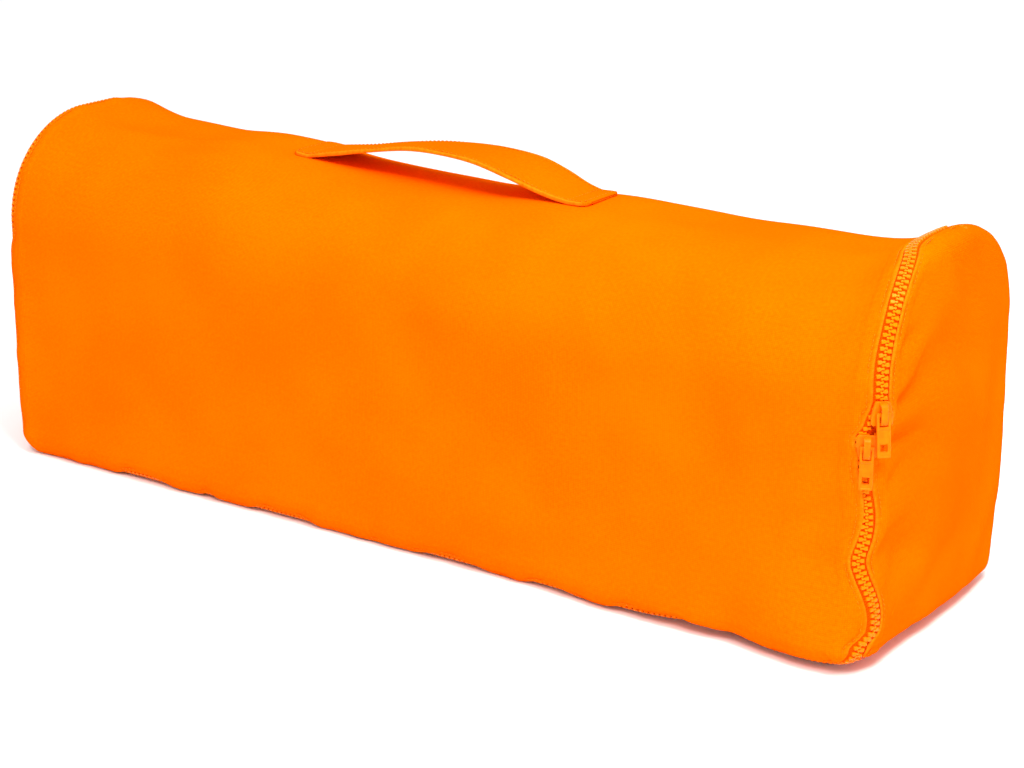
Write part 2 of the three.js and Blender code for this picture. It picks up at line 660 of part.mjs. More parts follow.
function bridgePiece() {
  const leg = BRIDGE_INNER + SLIDER_PLATE / 2;
  const arch = (path, half, rise) => {
    path.moveTo(-half, -leg);
    path.lineTo(-half, 0);
    path.absarc(rise - half, 0, rise, Math.PI, Math.PI / 2, true);
    path.absarc(half - rise, 0, rise, Math.PI / 2, 0, true);
    path.lineTo(half, -leg);
    return path;
  };
  const shape = arch(new THREE.Shape(), BRIDGE_LENGTH / 2, BRIDGE_INNER + BRIDGE_THICKNESS);
  const under = arch(new THREE.Path(), BRIDGE_LENGTH / 2 - BRIDGE_THICKNESS, BRIDGE_INNER);
  for (const point of under.getPoints(CURVE_STEPS).reverse()) {
    shape.lineTo(point.x, point.y);
  }
  shape.closePath();
  const crown = extruded(shape, BRIDGE_WIDTH).translate(0, 0, -BRIDGE_WIDTH / 2);
  return crown.rotateX(Math.PI / 2).rotateZ(Math.PI / 2).translate(0, 0, AXIS_HEIGHT);
}

// mouth is -1 where the slider's mouth points down the chain, +1 where it points up
function slider(mouth) {
  const lowerTop = CHAIN_PROUD - CHAIN_THICKNESS - UNDER_PLAY;
  const neckLength = SLIDER_LENGTH / 5;
  const neckHeight = PLATE_BASE - lowerTop + SLIDER_PLATE;
  const neck = new THREE.BoxGeometry(SLIDER_NECK, neckLength, neckHeight);
  neck.translate(0, neckLength / 2 - SLIDER_LENGTH / 2, lowerTop - SLIDER_PLATE / 2 + neckHeight / 2);
  const under = new THREE.BoxGeometry(SLIDER_NOSE_WIDTH, SLIDER_LENGTH, SLIDER_PLATE);
  under.translate(0, 0, lowerTop - SLIDER_PLATE / 2);
  const plates = [platePiece(PLATE_BASE, SLIDER_PLATE), under, neck];
  const turned = plates.map((piece) => (mouth > 0 ? piece.rotateZ(Math.PI) : piece));
  return joined([...turned, bridgePiece()]);
}

// Pull tab: a flat frame that hangs from its bar under the bridge
function pullTab() {
  const half = PULL_WIDTH / 2;
  const top = PULL_BAR / 2;
  const round = half / 3;
  const shape = new THREE.Shape();
  shape.moveTo(-half, top);
  shape.lineTo(-half, round - PULL_LENGTH);
  shape.absarc(round - half, round - PULL_LENGTH, round, Math.PI, 1.5 * Math.PI, false);
  shape.absarc(half - round, round - PULL_LENGTH, round, 1.5 * Math.PI, 2 * Math.PI, false);
  shape.lineTo(half, top);
  shape.closePath();
  const eye = (width, from, to) => {
    const hole = new THREE.Path();
    hole.moveTo(-width / 2, from);
    hole.lineTo(width / 2, from);
    hole.lineTo(width / 2, to);
    hole.lineTo(-width / 2, to);
    hole.closePath();
    return hole;
  };
  const eyeReach = BRIDGE_LENGTH / 2 + PLAY;
  shape.holes.push(eye(BRIDGE_WIDTH + 2 * PLAY, -eyeReach, -PULL_BAR / 2));
  const windowEnd = 2 * PULL_THICKNESS - PULL_LENGTH;
  shape.holes.push(eye(PULL_WINDOW, windowEnd, windowEnd + PULL_WINDOW));
  return extruded(shape, PULL_THICKNESS).translate(0, 0, -PULL_THICKNESS / 2);
}

// Handle: a strap that lies sewn at both ends and stands in an arch between
const STRAP_ARCH = [
  { run: 0.0, rise: 0, twist: 0 },
  { run: 0.12, rise: 0.3, twist: 0.2 },
  { run: 0.25, rise: 0.64, twist: 0.35 },
  { run: 0.4, rise: 0.93, twist: 0.4 },
  { run: 0.52, rise: 1, twist: 0.2 },
  { run: 0.65, rise: 0.94, twist: -0.3 },
  { run: 0.78, rise: 0.68, twist: -0.9 },
  { run: 0.88, rise: 0.36, twist: -0.8 },
  { run: 0.95, rise: 0.12, twist: -0.3 },
  { run: 1.0, rise: 0, twist: 0 },
];

const STRAP_STEP = 9;
const STRAP_COLUMNS = [-1, -0.5, 0, 0.5, 1];

function handle() {
  const length = STRAP_RIGHT - STRAP_LEFT;
  const runs = stepsThrough([0, STRAP_SEWN, length - STRAP_SEWN, length], STRAP_STEP);
  const rings = runs.map((run) => {
    const free = THREE.MathUtils.clamp((run - STRAP_SEWN) / (length - 2 * STRAP_SEWN), 0, 1);
    const rise = fromTable(STRAP_ARCH, "run", free, "rise") * STRAP_RISE;
    const twist = fromTable(STRAP_ARCH, "run", free, "twist") * STRAP_TWIST;
    const place = (q, height) => {
      const b = TOP_MIDDLE + STRAP_SETBACK + (q * STRAP_WIDTH) / 2;
      const point = skin(STRAP_LEFT + run, b, height + STRAP_SEAT);
      point.z += rise - (q * twist) / 2;
      return point;
    };
    const upper = STRAP_COLUMNS.map((q) => place(q, STRAP_THICKNESS));
    const lower = STRAP_COLUMNS.map((q) => place(q, 0)).reverse();
    return [...upper, ...lower];
  });
  return tubeBody(rings);
}

// Materials, one for each sub-part
function material(colour, roughness, metalness = 0) {
  return new THREE.MeshStandardMaterial({ color: colour, roughness, metalness });
}

const CANVAS = 0xff8400;
const TEETH = 0xffa21a;
const PULLS = 0xf9a13c;

const bag = new THREE.Group();

function add(name, geometry, colour, roughness, matrix) {
  const mesh = new THREE.Mesh(geometry, material(colour, roughness));
  mesh.name = name;
  if (matrix) {
    mesh.applyMatrix4(matrix);
  }
  bag.add(mesh);
}

add("wrap_panel", wrapPanel(), CANVAS, 0.9);
add("end_panel_left", endPanel(-1), CANVAS, 0.9);
add("end_panel_right", endPanel(1), CANVAS, 0.9);
add("zip_chain_front", chainHalf(true), TEETH, 0.4);
add("zip_chain_body", chainHalf(false), TEETH, 0.4);
add("handle_strap", handle(), CANVAS, 0.9);

const SLIDERS = [
  { name: "upper", at: upperSlider, mouth: -1, tilt: UPPER_PULL_TILT },
  { name: "lower", at: lowerSlider, mouth: 1, tilt: LOWER_PULL_TILT },
];
for (const { name, at, mouth, tilt } of SLIDERS) {
  const frame = sliderFrame(at);
  add(`slider_${name}`, slider(mouth), PULLS, 0.35, frame);
  const hang = new THREE.Matrix4().makeRotationX(-tilt * RADIAN).setPosition(0, 0, AXIS_HEIGHT);
  add(`pull_${name}`, pullTab(), PULLS, 0.35, frame.clone().multiply(hang));
}

export default bag;
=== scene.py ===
# %% [markdown]
# A yoga mat bag is a long tube of cotton canvas, closed by one zip round three sides of its front.
# Lengths are in metres, X runs along the bag, -Y is its front, +Z is up.

# %% Load the frame
import math

import bmesh
import bpy
import numpy as np
from mathutils import Matrix, Vector


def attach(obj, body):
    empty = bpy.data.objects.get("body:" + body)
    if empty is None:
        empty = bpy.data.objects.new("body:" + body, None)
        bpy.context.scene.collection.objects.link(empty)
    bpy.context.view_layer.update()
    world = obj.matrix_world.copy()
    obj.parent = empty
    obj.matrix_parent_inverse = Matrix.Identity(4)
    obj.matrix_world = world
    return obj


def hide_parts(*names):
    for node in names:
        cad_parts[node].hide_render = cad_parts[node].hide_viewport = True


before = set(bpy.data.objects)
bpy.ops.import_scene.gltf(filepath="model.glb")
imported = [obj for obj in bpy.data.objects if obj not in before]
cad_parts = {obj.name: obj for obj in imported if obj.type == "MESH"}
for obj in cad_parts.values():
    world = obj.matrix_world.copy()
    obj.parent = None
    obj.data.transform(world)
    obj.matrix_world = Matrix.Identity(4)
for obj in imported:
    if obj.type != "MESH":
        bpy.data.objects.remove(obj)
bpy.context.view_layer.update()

MM = 0.001

# %% [markdown]
# The camera comes first, because each later step is judged through it. It circles the bag at a chosen
# azimuth and elevation, and looks at a point inside it. The focal length is known in picture widths,
# so the lens follows from the width of the sensor.

# %% Camera
CAMERA_AZIMUTH = math.radians(34.6)
CAMERA_ELEVATION = math.radians(18.0)
CAMERA_DISTANCE = 1.522
CAMERA_TARGET = Vector((0.032, 0.0, 0.0955))
SENSOR_WIDTH = 36.0
PICTURE_WIDTH = 1024
FOCAL_PIXELS = 2302


def direction(azimuth, elevation):
    """Unit vector from the bag towards a viewer or a lamp."""
    flat = math.cos(elevation)
    return Vector((math.sin(azimuth) * flat, -math.cos(azimuth) * flat, math.sin(elevation)))


camera_data = bpy.data.cameras.new("camera")
camera_data.sensor_width = SENSOR_WIDTH
camera_data.lens = FOCAL_PIXELS / PICTURE_WIDTH * SENSOR_WIDTH
camera = bpy.data.objects.new("camera", camera_data)
bpy.context.collection.objects.link(camera)
back = direction(CAMERA_AZIMUTH, CAMERA_ELEVATION)
camera.location = CAMERA_TARGET + back * CAMERA_DISTANCE
camera.rotation_euler = (-back).to_track_quat("-Z", "Y").to_euler()
bpy.context.scene.camera = camera
print("lens", round(camera_data.lens, 2), "mm")

# %% [markdown]
# The bag's outer skin is one smooth surface. A point on it has two coordinates, as on a map: `a` runs
# along the bag and round the end corners, `b` runs round the section from the zip, up the front, over
# the top and back under. A sculpted mesh would also do, but a formula lets the zip, the stitches and
# the canvas all ask for the same surface at any fineness. These are its sizes.

# %% Sizes of the bag
LENGTH = 680 * MM
DEPTH = 186 * MM
HEIGHT = 250 * MM
TOP_ROUND = 78 * MM
BOTTOM_ROUND = 18 * MM
END_ROUND = 16 * MM
SEAM_GAP = 0.3 * MM

CHAIN_WIDTH = 7 * MM
CHAIN_THICKNESS = 2.6 * MM
CHAIN_PROUD = 0.8 * MM
CLOTH_GAP = 0.7 * MM
ZIP_CORNER_ROUND = 15 * MM
ZIP_PAST_RIDGE = 14 * MM
ZIP_UNDER_ANGLE = math.radians(60)
UPPER_SLIDER_UP = 0.64
SLIDER_SPACING = 19 * MM
SLIDER_LENGTH = 14 * MM
OPEN_SPREAD = 3 * MM
UPPER_SHIFT = 1.5 * MM
LOWER_SHIFT = -4.3 * MM
SHIFT_FADE = 45 * MM
SPREAD_RATE = 2.5
print("bag", round(LENGTH / MM), "x", round(DEPTH / MM), "x", round(HEIGHT / MM), "mm")

# %% [markdown]
# Filled canvas never stands as straight as its pattern. What makes this bag a used one is kept in small
# tables: how high and how full it is along its length, where it is dented, and how its zip wanders.
# Chosen rows like these are easier to adjust than a sculpted mesh, and each says where it belongs.


# %% Tables of the form
def table(names, *rows):
    """A list of rows whose values go by the names of their columns."""
    return [dict(zip(names.split(), row)) for row in rows]


# Sections along the bag: top is a share of HEIGHT, front and back of half of DEPTH.
SECTIONS = table(
    "along top front back",
    (0.0, 0.99, 1.0, 0.99),
    (0.03, 0.975, 1.0, 1.0),
    (0.08, 0.945, 1.01, 1.0),
    (0.16, 0.93, 1.02, 1.01),
    (0.23, 0.938, 1.02, 1.02),
    (0.3, 0.925, 1.02, 1.02),
    (0.4, 0.91, 1.02, 1.02),
    (0.7, 0.908, 1.02, 1.02),
    (0.86, 0.905, 1.01, 1.01),
    (0.94, 0.915, 1.0, 1.0),
    (0.985, 0.975, 1.0, 1.0),
    (1.0, 1.0, 1.0, 1.0),
)

# Dents (depth over 0) and bulges (under 0), placed by shares of their side; depth is a share of DEPTH.
DENTS = table(
    "side across up wide high turn depth",
    ("front", 0.95, 0.04, 0.07, 0.18, 0, -0.07),
    ("front", 0.76, 0.03, 0.07, 0.15, 0, -0.035),
    ("front", 0.5, 0.75, 0.05, 0.3, 20, 0.012),
    ("front", 0.12, 0.7, 0.08, 0.3, -15, 0.014),
    ("front", 0.78, 0.35, 0.1, 0.2, 30, 0.014),
    ("bottom", 0.86, 0.0, 0.045, 0.3, 0, 0.03),
    ("bottom", 1.0, 0.15, 0.03, 0.3, 0, 0.035),
    ("right", 0.45, 0.5, 0.5, 0.42, 0, -0.045),
    ("right", 0.3, 0.68, 0.16, 0.07, 20, 0.03),
    ("right", 0.25, 0.5, 0.14, 0.06, -10, 0.025),
    ("right", 0.2, 0.28, 0.16, 0.08, 15, 0.03),
    ("left", 0.5, 0.5, 0.5, 0.45, 0, -0.025),
    ("left", 0.15, 0.2, 0.4, 0.15, 0, -0.01),
    ("left", 0.4, 0.6, 0.2, 0.1, 10, 0.02),
    ("back", 0.98, 0.88, 0.06, 0.2, 0, -0.025),
    ("back", 0.3, 0.6, 0.06, 0.35, 15, 0.014),
    ("back", 0.68, 0.45, 0.07, 0.3, -20, 0.016),
    ("top", 0.47, 0.5, 0.12, 0.5, 0, 0.02),
)

# Sideways waves of the zip up the right end and along the underside, in chain widths.
RIGHT_WAVE = table(
    "up shift",
    (0.0, 0),
    (0.08, 0.9),
    (0.12, 1),
    (0.16, 0.53),
    (0.2, -0.24),
    (0.23, -0.68),
    (0.275, -0.4),
    (0.33, -0.33),
    (0.385, -0.43),
    (0.42, -0.38),
    (0.455, 0),
    (0.48, 0),
    (0.6, 0.05),
    (0.68, 0.17),
    (0.75, -0.05),
    (0.8, -0.3),
    (0.85, -0.75),
    (0.9, -1.4),
    (1.0, -1.6),
)
UNDER_WAVE = table(
    "along shift",
    (0.0, 0),
    (0.08, 0),
    (0.2, -0.3),
    (0.35, 0),
    (0.5, -0.3),
    (0.62, 0),
    (0.8, -0.3),
    (0.93, 0),
    (1.0, 0),
)
print("dents and bulges:", len(DENTS))

# %% [markdown]
# A table gives a few chosen values, and a smooth curve has to pass through them. Each stretch here is a
# cubic whose slopes come from the neighbouring rows. Everything works on whole arrays of points at once,
# which is what keeps a mesh of a hundred thousand faces quick.


# %% Curves through tables
def smooth(t):
    t = np.clip(t, 0, 1)
    return t * t * (3 - 2 * t)


def mix(low, high, share):
    return low + (high - low) * share


def from_table(rows, key, column, at):
    knots = np.array([row[key] for row in rows], float)
    values = np.array([row[column] for row in rows], float)
    k = np.searchsorted(knots[1:-1], at, side="left")
    before, after = np.maximum(k - 1, 0), np.minimum(k + 2, len(rows) - 1)
    span = knots[k + 1] - knots[k]
    t = np.clip((at - knots[k]) / span, 0, 1)
    slope_in = (values[k + 1] - values[before]) / (knots[k + 1] - knots[before]) * span
    slope_out = (values[after] - values[k]) / (knots[after] - knots[k]) * span
    cubic = 2 * t**3 - 3 * t**2
    ease_in, ease_out = t**3 - 2 * t**2 + t, t**3 - t**2
    return (cubic + 1) * values[k] + ease_in * slope_in - cubic * values[k + 1] + ease_out * slope_out


print("top of the bag at mid length:", round(float(from_table(SECTIONS, "along", "top", 0.5)), 3))

# %% [markdown]
# The plain section is a rounded rectangle: four lines and five arcs, walked from the zip line at the
# lower front edge. `outline` gives a point on it and the angle that it faces.

# %% The plain section
HALF_DEPTH = DEPTH / 2
top_round = min(TOP_ROUND, HALF_DEPTH - END_ROUND / 2)
bottom_round = BOTTOM_ROUND
QUARTER = math.pi / 2


def arc_part(cy, cz, radius, start, end):
    def at(run):
        angle = start - run / radius
        return cy + radius * np.cos(angle), cz + radius * np.sin(angle), angle

    return radius * abs(end - start), at


def line_part(y, z, angle, length):
    def at(run):
        return y + run * math.sin(angle), z - run * math.cos(angle), np.full_like(run, angle)

    return length, at


side_length = HEIGHT - bottom_round - top_round
PARTS = [
    arc_part(bottom_round - HALF_DEPTH, bottom_round, bottom_round, math.pi + ZIP_UNDER_ANGLE, math.pi),
    line_part(-HALF_DEPTH, bottom_round, math.pi, side_length),
    arc_part(top_round - HALF_DEPTH, HEIGHT - top_round, top_round, math.pi, QUARTER),
    line_part(top_round - HALF_DEPTH, HEIGHT, QUARTER, DEPTH - 2 * top_round),
    arc_part(HALF_DEPTH - top_round, HEIGHT - top_round, top_round, QUARTER, 0),
    line_part(HALF_DEPTH, HEIGHT - top_round, 0, side_length),
    arc_part(HALF_DEPTH - bottom_round, bottom_round, bottom_round, 0, -QUARTER),
    line_part(HALF_DEPTH - bottom_round, 0, -QUARTER, DEPTH - 2 * bottom_round),
    arc_part(bottom_round - HALF_DEPTH, bottom_round, bottom_round, -QUARTER, ZIP_UNDER_ANGLE - math.pi),
]
PART_LENGTHS = [length for length, _ in PARTS]
PERIMETER = sum(PART_LENGTHS)
TOP_MIDDLE = sum(PART_LENGTHS[:3]) + PART_LENGTHS[3] / 2
FLOOR_START = PERIMETER - PART_LENGTHS[8] - PART_LENGTHS[7]


def outline(b):
    rest = np.mod(b, PERIMETER)
    y, z, angle = np.zeros_like(rest), np.zeros_like(rest), np.zeros_like(rest)
    start = 0
    for length, at in PARTS:
        inside = (rest >= start) & (rest <= start + length)
        y[inside], z[inside], angle[inside] = at(rest[inside] - start)
        start += length
    return y, z, angle


print("girth", round(PERIMETER / MM), "mm, ridge at", round(TOP_MIDDLE / MM), "mm")

# %% [markdown]
# Soft goods never keep a plain section: the ridge sags between the stiff ends, the front bellies out,
# and handling leaves dents. `settle` moves a point of the plain form by all of these.

# %% Sag, belly and dents
AXES = {
    "front": ((0, -1, 0), 0, 2),
    "back": ((0, 1, 0), 0, 2),
    "top": ((0, 0, 1), 0, 1),
    "bottom": ((0, 0, -1), 0, 1),
    "right": ((1, 0, 0), 1, 2),
    "left": ((-1, 0, 0), 1, 2),
}
SPAN = np.array([LENGTH, DEPTH, HEIGHT])
MIDDLE_SHARE = np.array([0.5, 0.5, 0])
PROBE = 0.5 * MM
STRAIGHT = LENGTH / 2 - END_ROUND
ROUND_END = STRAIGHT + END_ROUND * QUARTER


def oval(dx, dy, turn, wide, high):
    """A soft bump, 1 in its middle, with its two axes turned by some degrees."""
    turn = math.radians(turn)
    u = (dx * math.cos(turn) + dy * math.sin(turn)) / wide
    v = (dy * math.cos(turn) - dx * math.sin(turn)) / high
    return np.exp(-u * u - v * v)


def dent_at(dent, point, facing):
    """The move that one dent gives to points that face its side."""
    out, first, second = AXES[dent["side"]]
    share = point / SPAN + MIDDLE_SHARE
    dx = (share[..., first] - dent["across"]) * SPAN[first]
    dy = (share[..., second] - dent["up"]) * SPAN[second]
    bump = oval(dx, dy, dent["turn"], dent["wide"] * SPAN[first], dent["high"] * SPAN[second])
    faces = np.maximum(facing @ np.array(out, float), 0)
    return (-dent["depth"] * DEPTH * faces * bump)[..., None] * np.array(out, float)


def settle(point, facing):
    along, up = point[..., 0] / LENGTH + 0.5, point[..., 2] / HEIGHT
    moved = point.copy()
    moved[..., 2] *= mix(1, from_table(SECTIONS, "along", "top", along), smooth(up))
    belly = np.sin(math.pi * np.clip(up, 0, 1))
    front = from_table(SECTIONS, "along", "front", along)
    rear = from_table(SECTIONS, "along", "back", along)
    moved[..., 1] *= 1 + (np.where(point[..., 1] < 0, front, rear) - 1) * belly
    for dent in DENTS:
        moved += dent_at(dent, point, facing)
    return moved


def unit(vectors):
    return vectors / np.linalg.norm(vectors, axis=-1, keepdims=True)


def raw_skin(a, b):
    """The settled surface before any height is added; past the end corners it runs on inward."""
    side = np.where(a < 0, -1.0, 1.0)
    reach = np.abs(a)
    turn = np.clip((reach - STRAIGHT) / END_ROUND, 0, QUARTER)
    inset = END_ROUND * (1 - np.cos(turn)) + np.maximum(reach - ROUND_END, 0)
    y, z, angle = outline(b)
    ny, nz = np.cos(angle), np.sin(angle)
    x = side * (np.minimum(reach, STRAIGHT) + END_ROUND * np.sin(turn))
    point = np.stack([x, y - ny * inset, z - nz * inset], -1)
    facing = np.stack([side * np.sin(turn), ny * np.cos(turn), nz * np.cos(turn)], -1)
    return settle(point, facing)


def skin_facing(a, b):
    """Direction out of the surface, from four points around each place."""
    along_a = raw_skin(a + PROBE, b) - raw_skin(a - PROBE, b)
    along_b = raw_skin(a, b + PROBE) - raw_skin(a, b - PROBE)
    return unit(np.cross(along_a, along_b))


def skin(a, b, height=0.0):
    a, b = np.broadcast_arrays(np.asarray(a, float), np.asarray(b, float))
    height = np.broadcast_to(np.asarray(height, float), a.shape)
    return raw_skin(a, b) + skin_facing(a, b) * height[..., None]


# The flat part of an end, inside its rounded corner, goes by y and z instead.
def raw_panel(side, y, z):
    point = np.stack([np.full_like(y, side * LENGTH / 2), y, z], -1)
    return settle(point, np.broadcast_to(np.array([side, 0.0, 0.0]), point.shape))


def panel(side, y, z, height=0.0):
    along_y = raw_panel(side, y + PROBE, z) - raw_panel(side, y - PROBE, z)
    along_z = raw_panel(side, y, z + PROBE) - raw_panel(side, y, z - PROBE)
    facing = unit(np.cross(along_y, along_z)) * side
    return raw_panel(side, y, z) + facing * np.broadcast_to(height, y.shape)[..., None]


print("ridge stands at", skin(0.0, TOP_MIDDLE).round(4))

# %% [markdown]
# The zip follows a line on the skin: under the front edge, round the lower corners and up both ends
# over the top. It wanders sideways where the cloth pulls it, and it is parted between its two sliders.
# The cloth edges on both sides keep a fixed distance to that line.

# %% The zip's line and the cloth edges
CREST = STRAIGHT + END_ROUND * math.pi / 4
HALF_CHAIN = CHAIN_WIDTH / 2
CLOTH_EDGE = HALF_CHAIN + CLOTH_GAP
ROUTE_ROUND = ZIP_CORNER_ROUND + CLOTH_EDGE
OUTER_ROUND = ZIP_CORNER_ROUND + 2 * CLOTH_EDGE
ZIP_END = TOP_MIDDLE + ZIP_PAST_RIDGE
SLIDER_LINE = PART_LENGTHS[0] - bottom_round
upper_slider_b = UPPER_SLIDER_UP * HEIGHT + SLIDER_LINE
lower_slider_b = upper_slider_b - SLIDER_SPACING


def slider_step(b):
    """The sideways step between the two sliders, which fades away past them."""
    inset = SLIDER_LENGTH / 4
    t = (b - lower_slider_b - inset) / (upper_slider_b - lower_slider_b - 2 * inset)
    beyond = np.maximum(lower_slider_b - b, b - upper_slider_b) - SLIDER_LENGTH / 2
    return mix(LOWER_SHIFT, UPPER_SHIFT, smooth(t)) * (1 - smooth(beyond / SHIFT_FADE))


def side_wave(side, b):
    wave = from_table(RIGHT_WAVE, "up", "shift", b / TOP_MIDDLE) * CHAIN_WIDTH
    begun = smooth(2 * (b - ROUTE_ROUND) / ROUTE_ROUND)
    ended = smooth((b - ZIP_END) / SHIFT_FADE)
    return np.where(side > 0, wave * begun * (1 - ended) + slider_step(b), 0.0)


def under_wave(a):
    """The zip's wander under the front edge, calm near the corners."""
    calm = smooth((CREST - ROUTE_ROUND - np.abs(a)) / ROUTE_ROUND)
    return -from_table(UNDER_WAVE, "along", "shift", a / LENGTH + 0.5) * CHAIN_WIDTH * calm


def open_spread(side, b):
    """How far the two halves of the zip part between the sliders."""
    middle = (upper_slider_b + lower_slider_b) / 2
    reach = (upper_slider_b - lower_slider_b) / 2 + SLIDER_LENGTH / 3
    return np.where(side > 0, OPEN_SPREAD * smooth((1 - np.abs(b - middle) / reach) * SPREAD_RATE), 0.0)


def wrap_edge(side, b):
    """Where the wrap ends along the bag, rounded at its lower corners."""
    zipped = 1 - smooth((b - ZIP_END - CLOTH_GAP) / CHAIN_WIDTH)
    setback = (CLOTH_EDGE + open_spread(side, b)) * zipped + SEAM_GAP / 2 * (1 - zipped)
    edge = CREST - setback + side_wave(side, b)
    drop = np.clip(ZIP_CORNER_ROUND - np.maximum(b - CLOTH_EDGE, 0), 0, ZIP_CORNER_ROUND)
    return edge - ZIP_CORNER_ROUND + np.sqrt(ZIP_CORNER_ROUND**2 - drop**2)


def turn_rise(a):
    past = np.clip(np.abs(a) - (CREST - ROUTE_ROUND), 0, OUTER_ROUND)
    return ROUTE_ROUND - np.sqrt(OUTER_ROUND**2 - past**2)


def panel_edge(side, b):
    """Where an end panel starts, across the zip or the plain seam from the wrap."""
    near = np.where(b > PERIMETER / 2 + TOP_MIDDLE / 2, b - PERIMETER, b)
    zipped = 1 - smooth((near - ZIP_END - CLOTH_GAP) / CHAIN_WIDTH)
    setback = (CLOTH_EDGE + open_spread(side, near)) * zipped + SEAM_GAP / 2 * (1 - zipped)
    upward = CREST + setback + side_wave(side, near)
    drop = np.clip(ROUTE_ROUND - near, 0, OUTER_ROUND)
    turned = CREST - ROUTE_ROUND + np.sqrt(OUTER_ROUND**2 - drop**2)
    return np.where(near >= ROUTE_ROUND, upward, np.maximum(turned, CREST + SEAM_GAP / 2))


print("upper slider", round(upper_slider_b / MM), "mm up the right end's edge")

# %% [markdown]
# The route of the zip is one long list of places, half a millimetre apart. The right half is laid out
# first, along the underside, round the corner and up the end, and the left half is its mirror image.
# Teeth, tapes and stitches all take their places from this list, so none of them can drift apart.

# %% The zip's route
ROUTE_STEP = 0.5 * MM
straight_run = CREST - ROUTE_ROUND
under_a = np.linspace(0, straight_run, round(straight_run / ROUTE_STEP))
lean = np.linspace(0, QUARTER, round(ROUTE_ROUND * QUARTER / ROUTE_STEP))[1:]
rise_b = np.linspace(ROUTE_ROUND, ZIP_END, round((ZIP_END - ROUTE_ROUND) / ROUTE_STEP))[1:]
right_a = np.concatenate([under_a, straight_run + ROUTE_ROUND * np.sin(lean), np.full_like(rise_b, CREST)])
right_b = np.concatenate([np.zeros_like(under_a), ROUTE_ROUND * (1 - np.cos(lean)), rise_b])
right_lean = np.concatenate([np.zeros_like(under_a), lean, np.full_like(rise_b, QUARTER)])
route_a = np.concatenate([-right_a[:0:-1], right_a])
route_b = np.concatenate([right_b[:0:-1], right_b])
route_lean = np.concatenate([right_lean[:0:-1], right_lean])
route_side = np.sign(route_a)
route_out = np.stack([route_side * np.sin(route_lean), -np.cos(route_lean)], -1)
route_shift = route_side * side_wave(route_side, route_b)
route_place = np.stack([route_a + route_shift, route_b + under_wave(route_a)], -1)
route_spread = open_spread(route_side, route_b)


def along_zip(offset, height=0.0):
    """Points beside the zip's line: offset over 0 lies on the end panels' side."""
    away = np.sign(offset) * route_spread + offset
    place = route_place + route_out * np.broadcast_to(away, route_a.shape)[:, None]
    return skin(place[:, 0], place[:, 1], height)


def run_length(points):
    steps = np.linalg.norm(np.diff(points, axis=0), axis=1)
    return np.concatenate([[0], np.cumsum(steps)])


zip_centre = along_zip(0.0)
zip_run = run_length(zip_centre)
print("the zip is", round(zip_run[-1] / MM), "mm long")

# %% [markdown]
# Colours are given as they look on a screen, in sRGB hex, while Blender counts in linear light. One
# function turns one into the other. `node` adds a shader node, sets it and links it, so a material
# reads as a short list of what is stacked on what.


# %% Colours and nodes
def colour(hex_code):
    """An sRGB hex code in linear light, with full opacity."""
    channels = [int(hex_code[k : k + 2], 16) / 255 for k in (1, 3, 5)]
    return tuple(c / 12.92 if c <= 0.04045 else ((c + 0.055) / 1.055) ** 2.4 for c in channels) + (1.0,)


def node(tree, kind, links=None, inputs=None, stops=None, **settings):
    """Adds a node with its settings, constant inputs, links and, on a ramp, its colour stops."""
    made = tree.nodes.new(kind)
    for name, value in settings.items():
        setattr(made, name, value)
    for name, value in (inputs or {}).items():
        made.inputs[name].default_value = value
    for name, source in (links or {}).items():
        tree.links.new(source, made.inputs[name])
    for k, (place, code) in enumerate((stops or {}).items()):
        stop = made.color_ramp.elements[k]
        stop.position, stop.color = place, colour(code)
    return made


def new_material(name):
    material = bpy.data.materials.new(name)
    material.use_nodes = True
    material.node_tree.nodes.clear()
    return material, material.node_tree


def wave_scale(period):
    """Blender's wave texture repeats each 2 pi / 20 of its scaled coordinate."""
    return 2 * math.pi / (20 * period)


print("orange in linear light:", [round(c, 3) for c in colour("#ff8400")])

# %% [markdown]
# The canvas is dyed cotton in a plain weave of about 10 ounces. Cotton scatters light in its fibres, so
# it is rough, hardly glossy, and a little velvety at grazing angles. Its threads stand 0.5 mm apart,
# which is under one pixel here, so the weave is drawn with threads 1.2 mm apart to show at all, with
# painted shade in the hollows between the threads and painted light on their crowns.
# Dye takes unevenly, so two slow noises shift the orange, and the folded edges are paler from rubbing.

# %% Canvas
THREAD_SPACING = 1.2 * MM
DYE_PATCH = 90 * MM
FIBRE_FLECK = 2.2 * MM
# Painted shade and light of the weave: the hollows between the threads are painted this dark, and the
# threads' crowns this much brighter.
HOLLOW_PAINTED_SHADE = 0.88
CROWN_PAINTED_LIGHT = 0.24
FUZZ_TINT = colour("#ff7a10")


